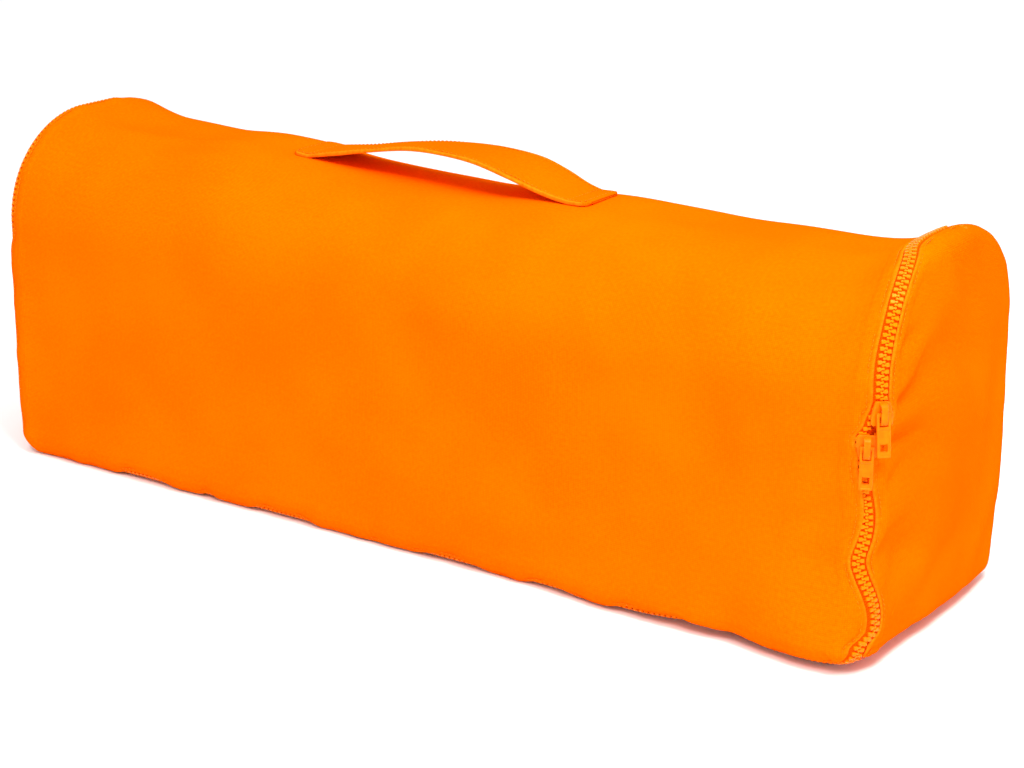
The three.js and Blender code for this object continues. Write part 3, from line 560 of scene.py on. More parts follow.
def canvas(name, main, deep, rubbed):
    """A dyed canvas: its main colour, where the dye is deep, and where a fold is rubbed."""
    material, tree = new_material(name)
    cloth = node(tree, "ShaderNodeAttribute", attribute_name="cloth").outputs["Vector"]
    wear = node(tree, "ShaderNodeAttribute", attribute_name="wear").outputs["Fac"]
    threads = {"Scale": wave_scale(THREAD_SPACING), "Distortion": 0.6, "Detail": 1.0, "Detail Scale": 0.3}
    warp = node(tree, "ShaderNodeTexWave", {"Vector": cloth}, threads, bands_direction="X").outputs["Fac"]
    weft = node(tree, "ShaderNodeTexWave", {"Vector": cloth}, threads, bands_direction="Y").outputs["Fac"]
    weave = node(tree, "ShaderNodeMath", {0: warp, 1: weft}, operation="MULTIPLY").outputs[0]
    patch, fleck = {"Scale": 1 / DYE_PATCH, "Detail": 3.0}, {"Scale": 1 / FIBRE_FLECK, "Detail": 2.0}
    patches = node(tree, "ShaderNodeTexNoise", {"Vector": cloth}, patch).outputs["Fac"]
    flecks = node(tree, "ShaderNodeTexNoise", {"Vector": cloth}, fleck).outputs["Fac"]
    both = node(tree, "ShaderNodeMath", {0: patches, 1: flecks}, operation="ADD").outputs[0]
    shade = node(tree, "ShaderNodeMath", {0: both}, {1: 0.5}, operation="MULTIPLY").outputs[0]
    dyed = node(tree, "ShaderNodeValToRGB", {"Fac": shade}, stops={0.4: deep, 0.6: main}).outputs["Color"]
    # Painted shade in the weave's hollows and painted light on its crowns scale the dyed colour.
    gain = {1: CROWN_PAINTED_LIGHT, 2: HOLLOW_PAINTED_SHADE}
    painted_weave_shading = node(tree, "ShaderNodeMath", {0: weave}, gain, operation="MULTIPLY_ADD").outputs[0]
    dyed_with_weave_shading = node(tree, "ShaderNodeVectorMath", {0: dyed, "Scale": painted_weave_shading}, operation="SCALE").outputs[0]
    rub = node(tree, "ShaderNodeMath", {0: wear, 1: flecks}, operation="MULTIPLY").outputs[0]
    mixed = {0: rub, 6: dyed_with_weave_shading}
    worn = node(tree, "ShaderNodeMix", mixed, {7: colour(rubbed)}, data_type="RGBA").outputs[2]
    bump = node(tree, "ShaderNodeBump", {"Height": weave}, {"Strength": 0.6, "Distance": 0.3 * MM})
    links = {"Base Color": worn, "Normal": bump.outputs["Normal"]}
    fibres = {"Roughness": 0.88, "IOR": 1.5, "Specular IOR Level": 0.0, "Specular Tint": FUZZ_TINT}
    fuzz = {"Sheen Weight": 0.05, "Sheen Roughness": 0.5, "Sheen Tint": FUZZ_TINT}
    shader = node(tree, "ShaderNodeBsdfPrincipled", links, {**fibres, **fuzz})
    node(tree, "ShaderNodeOutputMaterial", {"Surface": shader.outputs["BSDF"]})
    return material


cotton_canvas = canvas("cotton_canvas", "#ff6b00", "#fa6100", "#ff8612")
strap_canvas = canvas("cotton_canvas_strap", "#ff6900", "#f86000", "#ff8612")
print("canvas threads drawn", THREAD_SPACING / MM, "mm apart")

# %% [markdown]
# Cloth has two faces and a thickness, so each panel is a closed wall: an outer grid of points, the same
# grid a little further in, and narrow rims that join them. One function turns any such pair of grids
# into a mesh, and another gives the mesh its cloth coordinates, which the weave follows.

# %% From grids to meshes
CLOTH_THICKNESS = 1.2 * MM


def grid_quads(ids):
    """Faces between the neighbours of a grid of point numbers."""
    return np.stack([ids[:-1, :-1], ids[:-1, 1:], ids[1:, 1:], ids[1:, :-1]], -1).reshape(-1, 4)


def rim_quads(upper, lower):
    return np.stack([upper[1:], upper[:-1], lower[:-1], lower[1:]], -1)


def wall_faces(rows, columns, closed, capped):
    """Faces of an outer and an inner grid; closed joins the columns' ends, capped adds two tips."""
    ids = np.arange(rows * columns).reshape(rows, columns)
    if closed:
        ids = np.hstack([ids, ids[:, :1]])
    low = ids + rows * columns
    faces = [grid_quads(ids), grid_quads(low)[:, ::-1], rim_quads(ids[0], low[0])]
    if capped:
        tip = 2 * rows * columns
        for ring, top, flip in ((ids[-1], tip, 1), (low[-1], tip + 1, -1)):
            fan = np.stack([ring[:-1], ring[1:], np.full(len(ring) - 1, top)], -1)
            faces.append(fan[:, ::flip])
    else:
        faces.append(rim_quads(ids[-1][::-1], low[-1][::-1]))
    if not closed:
        faces.append(rim_quads(ids[:, 0][::-1], low[:, 0][::-1]))
        faces.append(rim_quads(ids[:, -1], low[:, -1]))
    return [face.tolist() for block in faces for face in block]


def new_piece(name, points, faces, material, body="bag", soft=True):
    """Makes a mesh that faces outward and rides on a body of the frame."""
    mesh = bpy.data.meshes.new(name)
    mesh.from_pydata(np.asarray(points).reshape(-1, 3).tolist(), [], faces)
    work = bmesh.new()
    work.from_mesh(mesh)
    if work.calc_volume(signed=True) < 0:
        bmesh.ops.reverse_faces(work, faces=work.faces)
    work.to_mesh(mesh)
    work.free()
    mesh.polygons.foreach_set("use_smooth", [soft] * len(mesh.polygons))
    mesh.materials.append(material)
    piece = bpy.data.objects.new(name, mesh)
    bpy.context.collection.objects.link(piece)
    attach(piece, body)
    print(name, len(mesh.vertices), "points", len(mesh.polygons), "faces")
    return piece


def note_cloth(piece, places, wear=None):
    """Stores where each point lies on the flat cloth, and how rubbed it is there."""
    flat = np.zeros((len(piece.data.vertices), 3))
    flat[:, :2] = places
    layer = piece.data.attributes.new("cloth", "FLOAT_VECTOR", "POINT")
    layer.data.foreach_set("vector", flat.astype(np.float32).ravel())
    rubbed = np.zeros(len(flat)) if wear is None else wear
    layer = piece.data.attributes.new("wear", "FLOAT", "POINT")
    layer.data.foreach_set("value", np.asarray(rubbed, np.float32).ravel())


def growing_steps(total, fine, fine_reach, coarse, growth=1.25):
    """Distances from 0 to total that start fine and grow to coarse."""
    values, step = [0.0], fine
    while values[-1] < total - coarse / 2:
        if values[-1] >= fine_reach:
            step = min(step * growth, coarse)
        values.append(values[-1] + step)
    return np.array(values) * total / values[-1]


def both_ends_fine(start, end, fine, fine_reach, coarse):
    """Places from start to end that are close together near both."""
    half = (end - start) / 2
    inward = growing_steps(half, fine, fine_reach, coarse)
    return np.concatenate([start + inward, end - inward[-2::-1]])


print("a seam edge in steps of", growing_steps(0.1, 0.001, 0.01, 0.005)[:3])

# %% [markdown]
# The stillness of a computed skin gives it away, so real folds are laid over it. There are three kinds.
# Broad folds are chosen and kept in a table. Puckers run off the seams, where two layers were
# sewn with slightly different lengths. Slow ripples, a sum of a few long waves, break what is left.

# %% Folds, puckers and ripples
# along and round are the middle of a fold, as shares of LENGTH and of the way from the zip to the ridge;
# long and wide are its size and lift its height in millimetres; turn is measured from the bag's length.
FRONT_FOLDS = table(
    "along round turn long wide lift",
    (0.085, 0.98, 8, 52, 28, -3.4),
    (0.16, 0.93, 8, 50, 9, 1.6),
    (0.07, 0.80, 35, 40, 14, -1.6),
    (0.19, 0.84, 8, 60, 11, 1.5),
    (0.30, 0.90, -16, 40, 9, 1.2),
    (0.40, 0.80, 30, 50, 12, 1.0),
    (0.53, 0.78, 78, 34, 10, -1.5),
    (0.57, 0.62, 62, 48, 13, 1.2),
    (0.66, 0.82, 70, 40, 9, -1.1),
    (0.73, 0.60, 118, 52, 12, 1.4),
    (0.80, 0.72, 110, 46, 10, -1.1),
    (0.88, 0.40, 100, 40, 10, 1.3),
    (0.93, 0.30, 75, 34, 9, 1.5),
    (0.968, 0.60, 60, 22, 6, -1.6),
    (0.955, 0.44, 50, 20, 6, -1.4),
    (0.945, 0.52, 45, 30, 7, 1.2),
    (0.95, 0.31, 35, 18, 6, -1.4),
    (0.962, 0.23, 20, 18, 6, -1.4),
    (0.15, 0.35, 95, 70, 16, 1.1),
    (0.34, 0.25, 20, 80, 16, 0.9),
    (0.50, 0.20, -12, 70, 14, 1.0),
    (0.66, 0.14, 8, 60, 10, 1.3),
)
# Ripples: wave length along and round in millimetres, height in millimetres, and a fixed start.
RIPPLES = table(
    "along round height start",
    (260, 190, 0.55, 0.4),
    (-170, 230, 0.45, 2.1),
    (120, -310, 0.3, 4.0),
    (-96, -140, 0.22, 1.2),
    (61, 170, 0.14, 3.3),
)
# Puckers: length and height in millimetres, how far they reach from the seam, and a fixed start.
PUCKERS = table(
    "length height reach start",
    (33, 0.6, 17, 0.6),
    (19, 0.35, 11, 2.4),
    (8.5, 0.16, 5, 1.1),
)
PUCKER_WANDER = 1.7
WANDER_LENGTHS = 3.1
HELD_EDGE = 1.5 * MM


def broad_folds(a, b):
    height = np.zeros(np.broadcast(a, b).shape)
    for fold in FRONT_FOLDS:
        dx = a - (fold["along"] - 0.5) * LENGTH
        dy = b - fold["round"] * TOP_MIDDLE
        height += fold["lift"] * MM * oval(dx, dy, fold["turn"], fold["long"] * MM, fold["wide"] * MM)
    return height


def ripples(a, b):
    height = np.zeros(np.broadcast(a, b).shape)
    for wave in RIPPLES:
        phase = a / (wave["along"] * MM) + b / (wave["round"] * MM)
        height += wave["height"] * MM * np.sin(2 * math.pi * phase + wave["start"])
    return height


def puckers(distance, run):
    height = np.zeros(np.broadcast(distance, run).shape)
    for pucker in PUCKERS:
        slow = np.sin(run / (WANDER_LENGTHS * pucker["length"] * MM) + pucker["start"])
        phase = 2 * math.pi * run / (pucker["length"] * MM) + pucker["start"] + PUCKER_WANDER * slow
        wave = np.sin(phase)
        held = 1 - np.exp(-((distance / HELD_EDGE) ** 2))
        height += pucker["height"] * MM * wave * held * np.exp(-distance / (pucker["reach"] * MM))
    return height


print("highest fold", max(fold["lift"] for fold in FRONT_FOLDS), "mm")

# %% [markdown]
# Along the zip the canvas is folded under and stitched down, so its edge is a round, double lip with a
# groove where the thread pulls it in. Along the plain seams at the back and underneath the two panels
# are sewn inside out and turned, so they dive into the seam together. Both are heights over the skin
# that depend only on the distance to the edge.

# %% Hem and seam profiles
HEM_STITCH = 3 * MM
STITCH_GROOVE = 0.45 * MM
STITCH_GROOVE_WIDTH = 0.8 * MM
LIP_ROUND = 0.9 * MM
HEM_LAYER = 0.35 * MM
HEM_WIDTH = 8 * MM
HEM_FADE = 2 * MM
# Just under 1, which keeps the lip's slope finite at the very edge.
LIP_TURN = 0.96
SEAM_DIVE = 2.2 * MM
SEAM_REACH = 2.4 * MM
PLAIN_SEAM_PULL = 0.3


def hem_height(distance):
    drop = np.clip(1 - distance / LIP_ROUND, 0, 1)
    lip = -LIP_ROUND * (1 - np.sqrt(1 - drop**2 * LIP_TURN))
    layer = HEM_LAYER * (1 - smooth((distance - HEM_WIDTH) / HEM_FADE))
    groove = -STITCH_GROOVE * np.exp(-(((distance - HEM_STITCH) / STITCH_GROOVE_WIDTH) ** 2))
    return lip + layer + groove


def seam_height(distance):
    return -SEAM_DIVE * np.exp(-distance / SEAM_REACH)


def edge_height(distance, zipped, run):
    """Height near an edge: a stitched hem where zipped is 1, a plain seam where it is 0."""
    shaped = mix(seam_height(distance), hem_height(distance), zipped)
    return shaped + puckers(distance, run) * mix(PLAIN_SEAM_PULL, 1, zipped)


print("hem at its edge", round(float(hem_height(np.array(0.0))) / MM, 2), "mm")

# %% [markdown]
# The wrap panel is one long piece of canvas: it starts at the zip under the front edge, climbs the
# front, lies over the top, goes down the back and comes forward underneath to the zip again. Its edge
# doesn't stay beside the zip: it hangs over it here and there, and rolls over the teeth between the
# sliders and the lower corner. Tables say where, and `hang` gives the move.

# %% Edges that hang over the zip
HANG_OUT = 5 * MM
HANG_UP = 2.3 * MM
HANG_REACH = 9 * MM
# How far the front cloth hangs over the zip under the front edge, 0 to 1, along the bag.
UNDER_COVER = table(
    "along cover",
    (0.0, 0.9),
    (0.13, 1.0),
    (0.155, 0.1),
    (0.19, 0.1),
    (0.215, 1.0),
    (0.25, 0.9),
    (0.265, 0.2),
    (0.28, 0.9),
    (0.31, 0.9),
    (0.335, 0.0),
    (0.38, 0.0),
    (0.41, 1.0),
    (0.52, 1.0),
    (0.55, 0.15),
    (0.585, 0.15),
    (0.615, 1.0),
    (0.645, 1.0),
    (0.665, 0.2),
    (0.69, 0.2),
    (0.715, 1.0),
    (0.74, 1.0),
    (0.765, 0.0),
    (0.81, 0.0),
    (0.84, 0.9),
    (0.9, 0.9),
    (0.95, 0.0),
    (1.0, 0.0),
)
# Right of the middle the front cloth folds over itself, low down: at is the fold's place up the front.
FOOT_FOLD = table(
    "along at lift",
    (0.0, 9, 0),
    (0.77, 9, 0),
    (0.79, 9, 0.9),
    (0.807, 10.5, 2.2),
    (0.826, 12, 2.8),
    (0.843, 12, 2.8),
    (0.856, 10.5, 2.4),
    (0.868, 8, 1.4),
    (0.882, 7, 0),
    (1.0, 7, 0),
)
FOOT_FOLD_FADE = 12 * MM
LEFT_COVER_TOP = 150 * MM
LEFT_COVER_FADE = 25 * MM
RIGHT_ROLL = {"at": 116 * MM, "reach": 27 * MM, "share": 0.8}


def side_cover(side, b):
    """How far the front cloth hangs over the zip up an end, 0 to 1."""
    left = 1 - smooth((b - LEFT_COVER_TOP) / LEFT_COVER_FADE)
    right = RIGHT_ROLL["share"] * np.exp(-(((b - RIGHT_ROLL["at"]) / RIGHT_ROLL["reach"]) ** 2))
    return np.where(side > 0, right, left)


def foot_fold(a, b):
    """Height of the low fold: it rises from the edge to its line and falls away above."""
    share = a / LENGTH + 0.5
    line = from_table(FOOT_FOLD, "along", "at", share) * MM
    below = np.clip((b - CLOTH_EDGE) / (line - CLOTH_EDGE), 0, 1)
    above = np.exp(-np.maximum(b - line, 0) / FOOT_FOLD_FADE)
    return from_table(FOOT_FOLD, "along", "lift", share) * MM * below * above


def hang(a, b):
    """How far the cloth near its zip edge moves along a and b, and up from the skin."""
    side = np.where(a < 0, -1.0, 1.0)
    by_side = np.exp(-(((wrap_edge(side, b) - np.abs(a)) / HANG_REACH) ** 2)) * side_cover(side, b)
    cover = np.clip(from_table(UNDER_COVER, "along", "cover", a / LENGTH + 0.5), 0, 1)
    by_foot = np.exp(-(((b - CLOTH_EDGE) / HANG_REACH) ** 2)) * cover
    limit = np.maximum(1, np.hypot(by_side, by_foot))
    by_side, by_foot = by_side / limit, by_foot / limit
    return side * by_side * HANG_OUT, -by_foot * HANG_OUT, np.hypot(by_side, by_foot) * HANG_UP


print("the edge hangs out by up to", HANG_OUT / MM, "mm")

# %% [markdown]
# The wrap is a grid of points: rows along the bag, and columns from the zip over the top and back to it.
# The grid is fine at its edges, where the hem turns, and coarse in the middle, where the cloth is calm.
# Each point gets its place on the skin and a height, the sum of hem, folds, ripples and hang.

# %% Grid of the wrap
HEM_STEP = 0.7 * MM
HEM_FINE_REACH = 11 * MM
FACE_STEP = 5 * MM
FOLD_START = 12 * MM
RIPPLE_START = 25 * MM
FLOOR_CALM = 40 * MM
WAVE_FADE = 3 * ZIP_CORNER_ROUND
half_steps = growing_steps(LENGTH / 2, HEM_STEP, HEM_FINE_REACH, FACE_STEP) / (LENGTH / 2)
shares = np.concatenate([half_steps - 1, (1 - half_steps)[-2::-1]])
over_b = CLOTH_EDGE + growing_steps(FLOOR_START - CLOTH_EDGE, HEM_STEP, HEM_FINE_REACH, FACE_STEP)
under_length = PERIMETER - CLOTH_EDGE - FLOOR_START
under_share = 1 - growing_steps(under_length, HEM_STEP, HEM_FINE_REACH, FACE_STEP)[::-1] / under_length


def wrap_over(share, b):
    """Place, height and distance to the edge, from the zip over the top to the floor at the back."""
    side = np.where(share < 0, -1.0, 1.0)
    edge = wrap_edge(side, b)
    a = share * edge
    lift = under_wave(a) * (1 - smooth((b - CLOTH_EDGE) / WAVE_FADE))
    reach_a = edge - np.abs(a)
    low = b - CLOTH_EDGE
    inner = wrap_edge(side, ROUTE_ROUND + 0 * b) - ZIP_CORNER_ROUND
    in_corner = (low < ZIP_CORNER_ROUND) & (np.abs(a) > inner)
    corner = ZIP_CORNER_ROUND - np.hypot(np.abs(a) - inner, ZIP_CORNER_ROUND - low)
    distance = np.where(in_corner, np.maximum(corner, 0), np.minimum(reach_a, low))
    zipped = np.where(reach_a < low, 1 - smooth((b - ZIP_END - CLOTH_GAP) / CHAIN_WIDTH), 1.0)
    run = np.where(reach_a < low, b + LENGTH, a)
    aside, down, up = hang(a, b)
    height = edge_height(distance, zipped, run) + broad_folds(a, b) * smooth(distance / FOLD_START)
    off_floor = smooth((FLOOR_START - b) / FLOOR_CALM)
    height = height + ripples(a, b) * smooth(distance / RIPPLE_START) * off_floor + up
    height = height + foot_fold(a, b)
    return a + aside, b + lift + down, height, distance


def wrap_under(share, part):
    """The same for the underside, from the back's foot forward to the zip."""
    a = share * (CREST - SEAM_GAP / 2)
    edge = PERIMETER + turn_rise(a) + under_wave(a)
    b = mix(FLOOR_START, edge, part)
    reach_a = CREST - SEAM_GAP / 2 - np.abs(a)
    reach_b = edge - b
    distance = np.minimum(reach_a, reach_b)
    zipped = np.where(reach_a < reach_b, 0.0, 1.0)
    height = edge_height(distance, zipped, np.where(reach_a < reach_b, b, a))
    return a, b, height, distance


print("the wrap's grid is", len(shares), "by", len(over_b) + len(under_share) - 1)

# %% [markdown]
# The two grids become one closed wall of cloth. Its inner face follows the outer one at the cloth's
# thickness, a little less at the edges, where it rolls under. Nothing may sink under the floor, so the
# outer face is held just above it. Each point keeps its place on the flat piece as it would be cut.

# %% Wrap panel
LOWEST = 0.2 * MM
EDGE_THINNING = 0.45
THINNING_REACH = 3 * MM
RUB_REACH = 1.2 * MM


def inner_depth(distance):
    """How far the inner face lies under the outer one."""
    return CLOTH_THICKNESS * mix(EDGE_THINNING, 1, smooth(distance / THINNING_REACH))


def off_the_floor(points):
    points[..., 2] = np.maximum(points[..., 2], LOWEST)
    return points


over = np.broadcast_arrays(*wrap_over(shares[:, None], over_b[None, :]))
below = np.broadcast_arrays(*wrap_under(shares[:, None], under_share[None, 1:]))
wrap_a, wrap_b, wrap_height, wrap_distance = (np.hstack(pair) for pair in zip(over, below))
wrap_outer = off_the_floor(skin(wrap_a, wrap_b, wrap_height))
wrap_inner = skin(wrap_a, wrap_b, wrap_height - inner_depth(wrap_distance))
wrap_faces = wall_faces(*wrap_a.shape, closed=False, capped=False)
wrap = new_piece("canvas_wrap", np.stack([wrap_outer, wrap_inner]), wrap_faces, cotton_canvas)
wrap_flat = np.stack([wrap_a, wrap_b], -1).reshape(-1, 2)
wrap_wear = np.exp(-((wrap_distance / RUB_REACH) ** 2)).ravel()
note_cloth(wrap, np.vstack([wrap_flat, wrap_flat]), np.concatenate([wrap_wear, wrap_wear * 0]))
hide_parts("wrap_panel")

# %% [markdown]
# Each end is closed by a panel with a rounded top, cut in one piece and turned over the corner to meet
# the wrap. Its grid is a set of rings: a fine band at the edge, the round corner, then rings that
# shrink to the middle. The right end was dented by handling, so it gets creases of its own.

# %% Creases of the ends
# The key is the side, 1 right and -1 left: y and z of a crease's middle, its size and height in millimetres.
END_CREASES = {
    1: table(
        "y z turn long wide lift",
        (-72, 213, 30, 22, 6, -2.4),
        (-73, 192, 20, 20, 5, -3.6),
        (-62, 178, 35, 26, 6, 1.8),
        (-67, 163, 10, 20, 4.5, -3.6),
        (-64, 139, -5, 18, 5, -4.4),
        (-60, 152, 5, 24, 6, 2.0),
        (-78, 116, 15, 16, 6, -2.7),
        (-74, 78, 25, 18, 7, -3.0),
        (-49, 64, -25, 26, 10, -4.2),
        (-40, 84, -30, 34, 9, 2.0),
        (14, 168, -35, 34, 13, -4.4),
        (4, 192, -55, 46, 9, 2.4),
        (20, 214, -50, 30, 9, 1.6),
        (40, 120, 80, 50, 14, 1.6),
        (-10, 40, 30, 40, 12, -1.9),
        (56, 50, 60, 34, 12, 2.0),
    ),
    -1: table(
        "y z turn long wide lift",
        (-50, 170, 30, 34, 9, -1.9),
        (20, 190, -30, 40, 11, 1.8),
        (40, 90, 70, 44, 12, -1.8),
        (-30, 60, -15, 40, 10, 1.9),
    ),
}
END_RIPPLE_RATE = 1.7


def creases(side, y, z):
    """Height of the creases and ripples of an end."""
    height = np.zeros(np.broadcast(y, z).shape)
    for crease in END_CREASES[side]:
        dy, dz = y - crease["y"] * MM, z - crease["z"] * MM
        long, wide = crease["long"] * MM, crease["wide"] * MM
        height += crease["lift"] * MM * oval(dy, dz, crease["turn"], long, wide)
    return height + ripples(y * END_RIPPLE_RATE, z * END_RIPPLE_RATE)


print("creases of the right end:", len(END_CREASES[1]))

# %% [markdown]
# The rings of an end come in two parts that meet where the corner turns flat. `corner` follows the skin's
# own coordinates round the corner, and `flat` goes by y and z inside it. Both know their distance to the
# edge, so hem, seam and creases carry on from one to the other.

# %% End panels
FLAT_RING_STEP = 3.5 * MM
END_COLUMN_STEP = 2.5 * MM
CREASE_START = 14 * MM
# The ends' puckers start far from the wrap's on the same waves, so the two don't match.
END_RUN_START = 2 * LENGTH
# Rings as shares of their part's width: round the corner, then over the flat.
CORNER_RINGS = growing_steps(1.0, 0.06, 0.3, 0.12)
FLAT_RINGS = growing_steps(1.0, 0.012, 0.05, FLAT_RING_STEP / HALF_DEPTH)


def end_panel(side, name):
    """Makes one end: side is 1 for the right and -1 for the left."""
    ring_b = np.linspace(0, PERIMETER, round(PERIMETER / END_COLUMN_STEP), endpoint=False)
    near = np.where(ring_b > PERIMETER / 2 + TOP_MIDDLE / 2, ring_b - PERIMETER, ring_b)
    in_zip = (1 - smooth((near - ZIP_END - CLOTH_GAP) / CHAIN_WIDTH)) * (near > ROUTE_ROUND - OUTER_ROUND)
    edge = panel_edge(side, ring_b)
    y, z, angle = outline(ring_b)
    ny, nz = np.cos(angle), np.sin(angle)
    inner_y, inner_z = y - ny * END_ROUND, z - nz * END_ROUND
    corner_a = side * mix(edge[None, :], ROUND_END, CORNER_RINGS[:, None])
    distance = np.abs(corner_a) - edge[None, :]
    corner_height = edge_height(distance, in_zip[None, :], ring_b[None, :] + END_RUN_START)
    shares = 1 - FLAT_RINGS[1:-1]
    flat_y = shares[:, None] * inner_y[None, :]
    flat_z = mix(HEIGHT / 2, inner_z[None, :], shares[:, None])
    gone = (1 - shares[:, None]) * np.hypot(inner_y, inner_z - HEIGHT / 2)[None, :]
    reach = (ROUND_END - edge)[None, :] + gone
    flat_height = edge_height(reach, in_zip[None, :], ring_b[None, :] + END_RUN_START)
    turned = ROUND_END - np.abs(corner_a)
    corner_y, corner_z = inner_y + ny * turned, inner_z + nz * turned
    corner_height += creases(side, corner_y, corner_z) * smooth(distance / CREASE_START)
    flat_height += creases(side, flat_y, flat_z) * smooth(reach / CREASE_START)
    corner = skin(corner_a, ring_b[None, :], corner_height)
    corner_low = skin(corner_a, ring_b[None, :], corner_height - inner_depth(distance))
    outer = off_the_floor(np.vstack([corner, panel(side, flat_y, flat_z, flat_height)]))
    inner = np.vstack([corner_low, panel(side, flat_y, flat_z, flat_height - inner_depth(reach))])
    middle = np.array([0.0]), np.array([HEIGHT / 2])
    tip = creases(side, *middle)
    tips = np.vstack([panel(side, *middle, tip), panel(side, *middle, tip - CLOTH_THICKNESS)])
    points = np.vstack([outer.reshape(-1, 3), inner.reshape(-1, 3), tips])
    faces = wall_faces(*outer.shape[:2], closed=True, capped=True)
    piece = new_piece(name, points, faces, cotton_canvas)
    cloth_y, cloth_z = np.vstack([corner_y, flat_y]), np.vstack([corner_z, flat_z])
    flat = np.stack([cloth_y, cloth_z], -1).reshape(-1, 2) + [side * LENGTH, 0]
    flat_tips = [[side * LENGTH, HEIGHT / 2]] * 2
    wear = np.exp(-((np.vstack([distance, reach]) / RUB_REACH) ** 2)).ravel()
    note_cloth(piece, np.vstack([flat, flat, flat_tips]), np.concatenate([wear, wear * 0, [0, 0]]))
    return piece


for side, word in ((-1, "left"), (1, "right")):
    end = end_panel(side, f"canvas_end_{word}")
    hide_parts(f"end_panel_{word}")

# %% [markdown]
# The zip is a moulded one: each tooth is a small block of acetal, shot straight onto the edge of a
# woven tape. A tooth has a broad root on the tape and a narrow head that reaches between its two
# neighbours opposite. Acetal is glossy and a little waxy, so it catches small bright lights.

# %% Moulded acetal
GRAIN = 6 * MM
# Highlights on deep orange plastic look warm in a picture, so they get a warm tint.
WARM_SHINE = colour("#ffc070")
acetal, tree = new_material("moulded_acetal")
grain = node(tree, "ShaderNodeTexNoise", inputs={"Scale": 1 / GRAIN, "Detail": 2.0}).outputs["Fac"]
tint = node(tree, "ShaderNodeValToRGB", {"Fac": grain}, stops={0.0: "#f67000", 1.0: "#fc7e00"})
glossy = {"Roughness": 0.27, "IOR": 1.48, "Specular IOR Level": 0.25, "Specular Tint": WARM_SHINE}
shader = node(tree, "ShaderNodeBsdfPrincipled", {"Base Color": tint.outputs["Color"]}, glossy)
node(tree, "ShaderNodeOutputMaterial", {"Surface": shader.outputs["BSDF"]})
print("made", acetal.name)

# %% [markdown]
# Sliders and pulls are zinc castings under a baked orange lacquer. Lacquer covers the metal whole, so it
# is no metal to the eye: an even colour, half glossy, with the faint dimples that painters call orange
# peel, and a few duller scuffs from use.

# %% Lacquered zinc
ORANGE_PEEL = 0.9 * MM
SCUFF = 4 * MM
lacquer, tree = new_material("lacquered_zinc")
place = node(tree, "ShaderNodeTexCoord").outputs["Object"]
dimples = node(tree, "ShaderNodeTexNoise", {"Vector": place}, {"Scale": 1 / ORANGE_PEEL, "Detail": 2.0})
scuffs = node(tree, "ShaderNodeTexNoise", {"Vector": place}, {"Scale": 1 / SCUFF, "Detail": 4.0})
stops = {0.35: "#ec6400", 0.75: "#f67400"}
tint = node(tree, "ShaderNodeValToRGB", {"Fac": scuffs.outputs["Fac"]}, stops=stops)
sunk = {"Strength": 0.2, "Distance": 0.05 * MM}
bump = node(tree, "ShaderNodeBump", {"Height": dimples.outputs["Fac"]}, sunk)
links = {"Base Color": tint.outputs["Color"], "Normal": bump.outputs["Normal"]}
half_gloss = {"Roughness": 0.34, "IOR": 1.5, "Specular IOR Level": 0.25, "Specular Tint": WARM_SHINE}
shader = node(tree, "ShaderNodeBsdfPrincipled", links, half_gloss)
node(tree, "ShaderNodeOutputMaterial", {"Surface": shader.outputs["BSDF"]})
print("made", lacquer.name)

# %% [markdown]
# Sewing thread is spun polyester, twisted from three plies: dull, with a slanting stripe of light and
# shade painted into its colour. The zip's tape is a polyester twill: fine slanting ribs, flat and dull,
# dyed darker than the canvas, with painted shade in the hollows of its ribs; its deeper red also paints
# the shade in the gap between the teeth and the hem. Both patterns are drawn about twice as coarse as
# they are, to show at all.

# %% Thread and tape
PLY_TWIST = 1.0 * MM
TWILL_RIB = 0.8 * MM
thread, tree = new_material("polyester_thread")
place = node(tree, "ShaderNodeTexCoord").outputs["Object"]
plies = {"Scale": wave_scale(PLY_TWIST)}
# Painted light and shade: the ply stripe darkens and lightens the thread's colour.
twist = node(tree, "ShaderNodeTexWave", {"Vector": place}, plies, bands_direction="DIAGONAL")
stops = {0.0: "#f46000", 1.0: "#ff7a10"}
tint = node(tree, "ShaderNodeValToRGB", {"Fac": twist.outputs["Fac"]}, stops=stops)
dull = {"Roughness": 0.6, "IOR": 1.5, "Specular IOR Level": 0.02}
shader = node(tree, "ShaderNodeBsdfPrincipled", {"Base Color": tint.outputs["Color"]}, dull)
node(tree, "ShaderNodeOutputMaterial", {"Surface": shader.outputs["BSDF"]})

tape, tree = new_material("polyester_tape")
cloth = node(tree, "ShaderNodeAttribute", attribute_name="cloth").outputs["Vector"]
twill = {"Scale": wave_scale(TWILL_RIB)}
ribs = node(tree, "ShaderNodeTexWave", {"Vector": cloth}, twill, bands_direction="DIAGONAL").outputs["Fac"]
# Painted shade: darker in the rib hollows, and the deep red also stands for the shade of the gap by the
# teeth.
tint = node(tree, "ShaderNodeValToRGB", {"Fac": ribs}, stops={0.0: "#d23c00", 1.0: "#ea5000"})
bump = node(tree, "ShaderNodeBump", {"Height": ribs}, {"Strength": 0.4, "Distance": 0.15 * MM})
links = {"Base Color": tint.outputs["Color"], "Normal": bump.outputs["Normal"]}
dull = {"Roughness": 0.8, "IOR": 1.5, "Specular IOR Level": 0.0}
shader = node(tree, "ShaderNodeBsdfPrincipled", links, dull)
node(tree, "ShaderNodeOutputMaterial", {"Surface": shader.outputs["BSDF"]})
print("materials so far:", len(bpy.data.materials))

# %% [markdown]
# Hundreds of equal teeth are made from one. Its points are given once in its own directions: across the
# zip, along it and out of the cloth. Then they are laid at each station of the route by one sum over
# all teeth, which Blender receives as a single joined mesh.

# %% Teeth
TOOTH_PITCH = 3.8 * MM
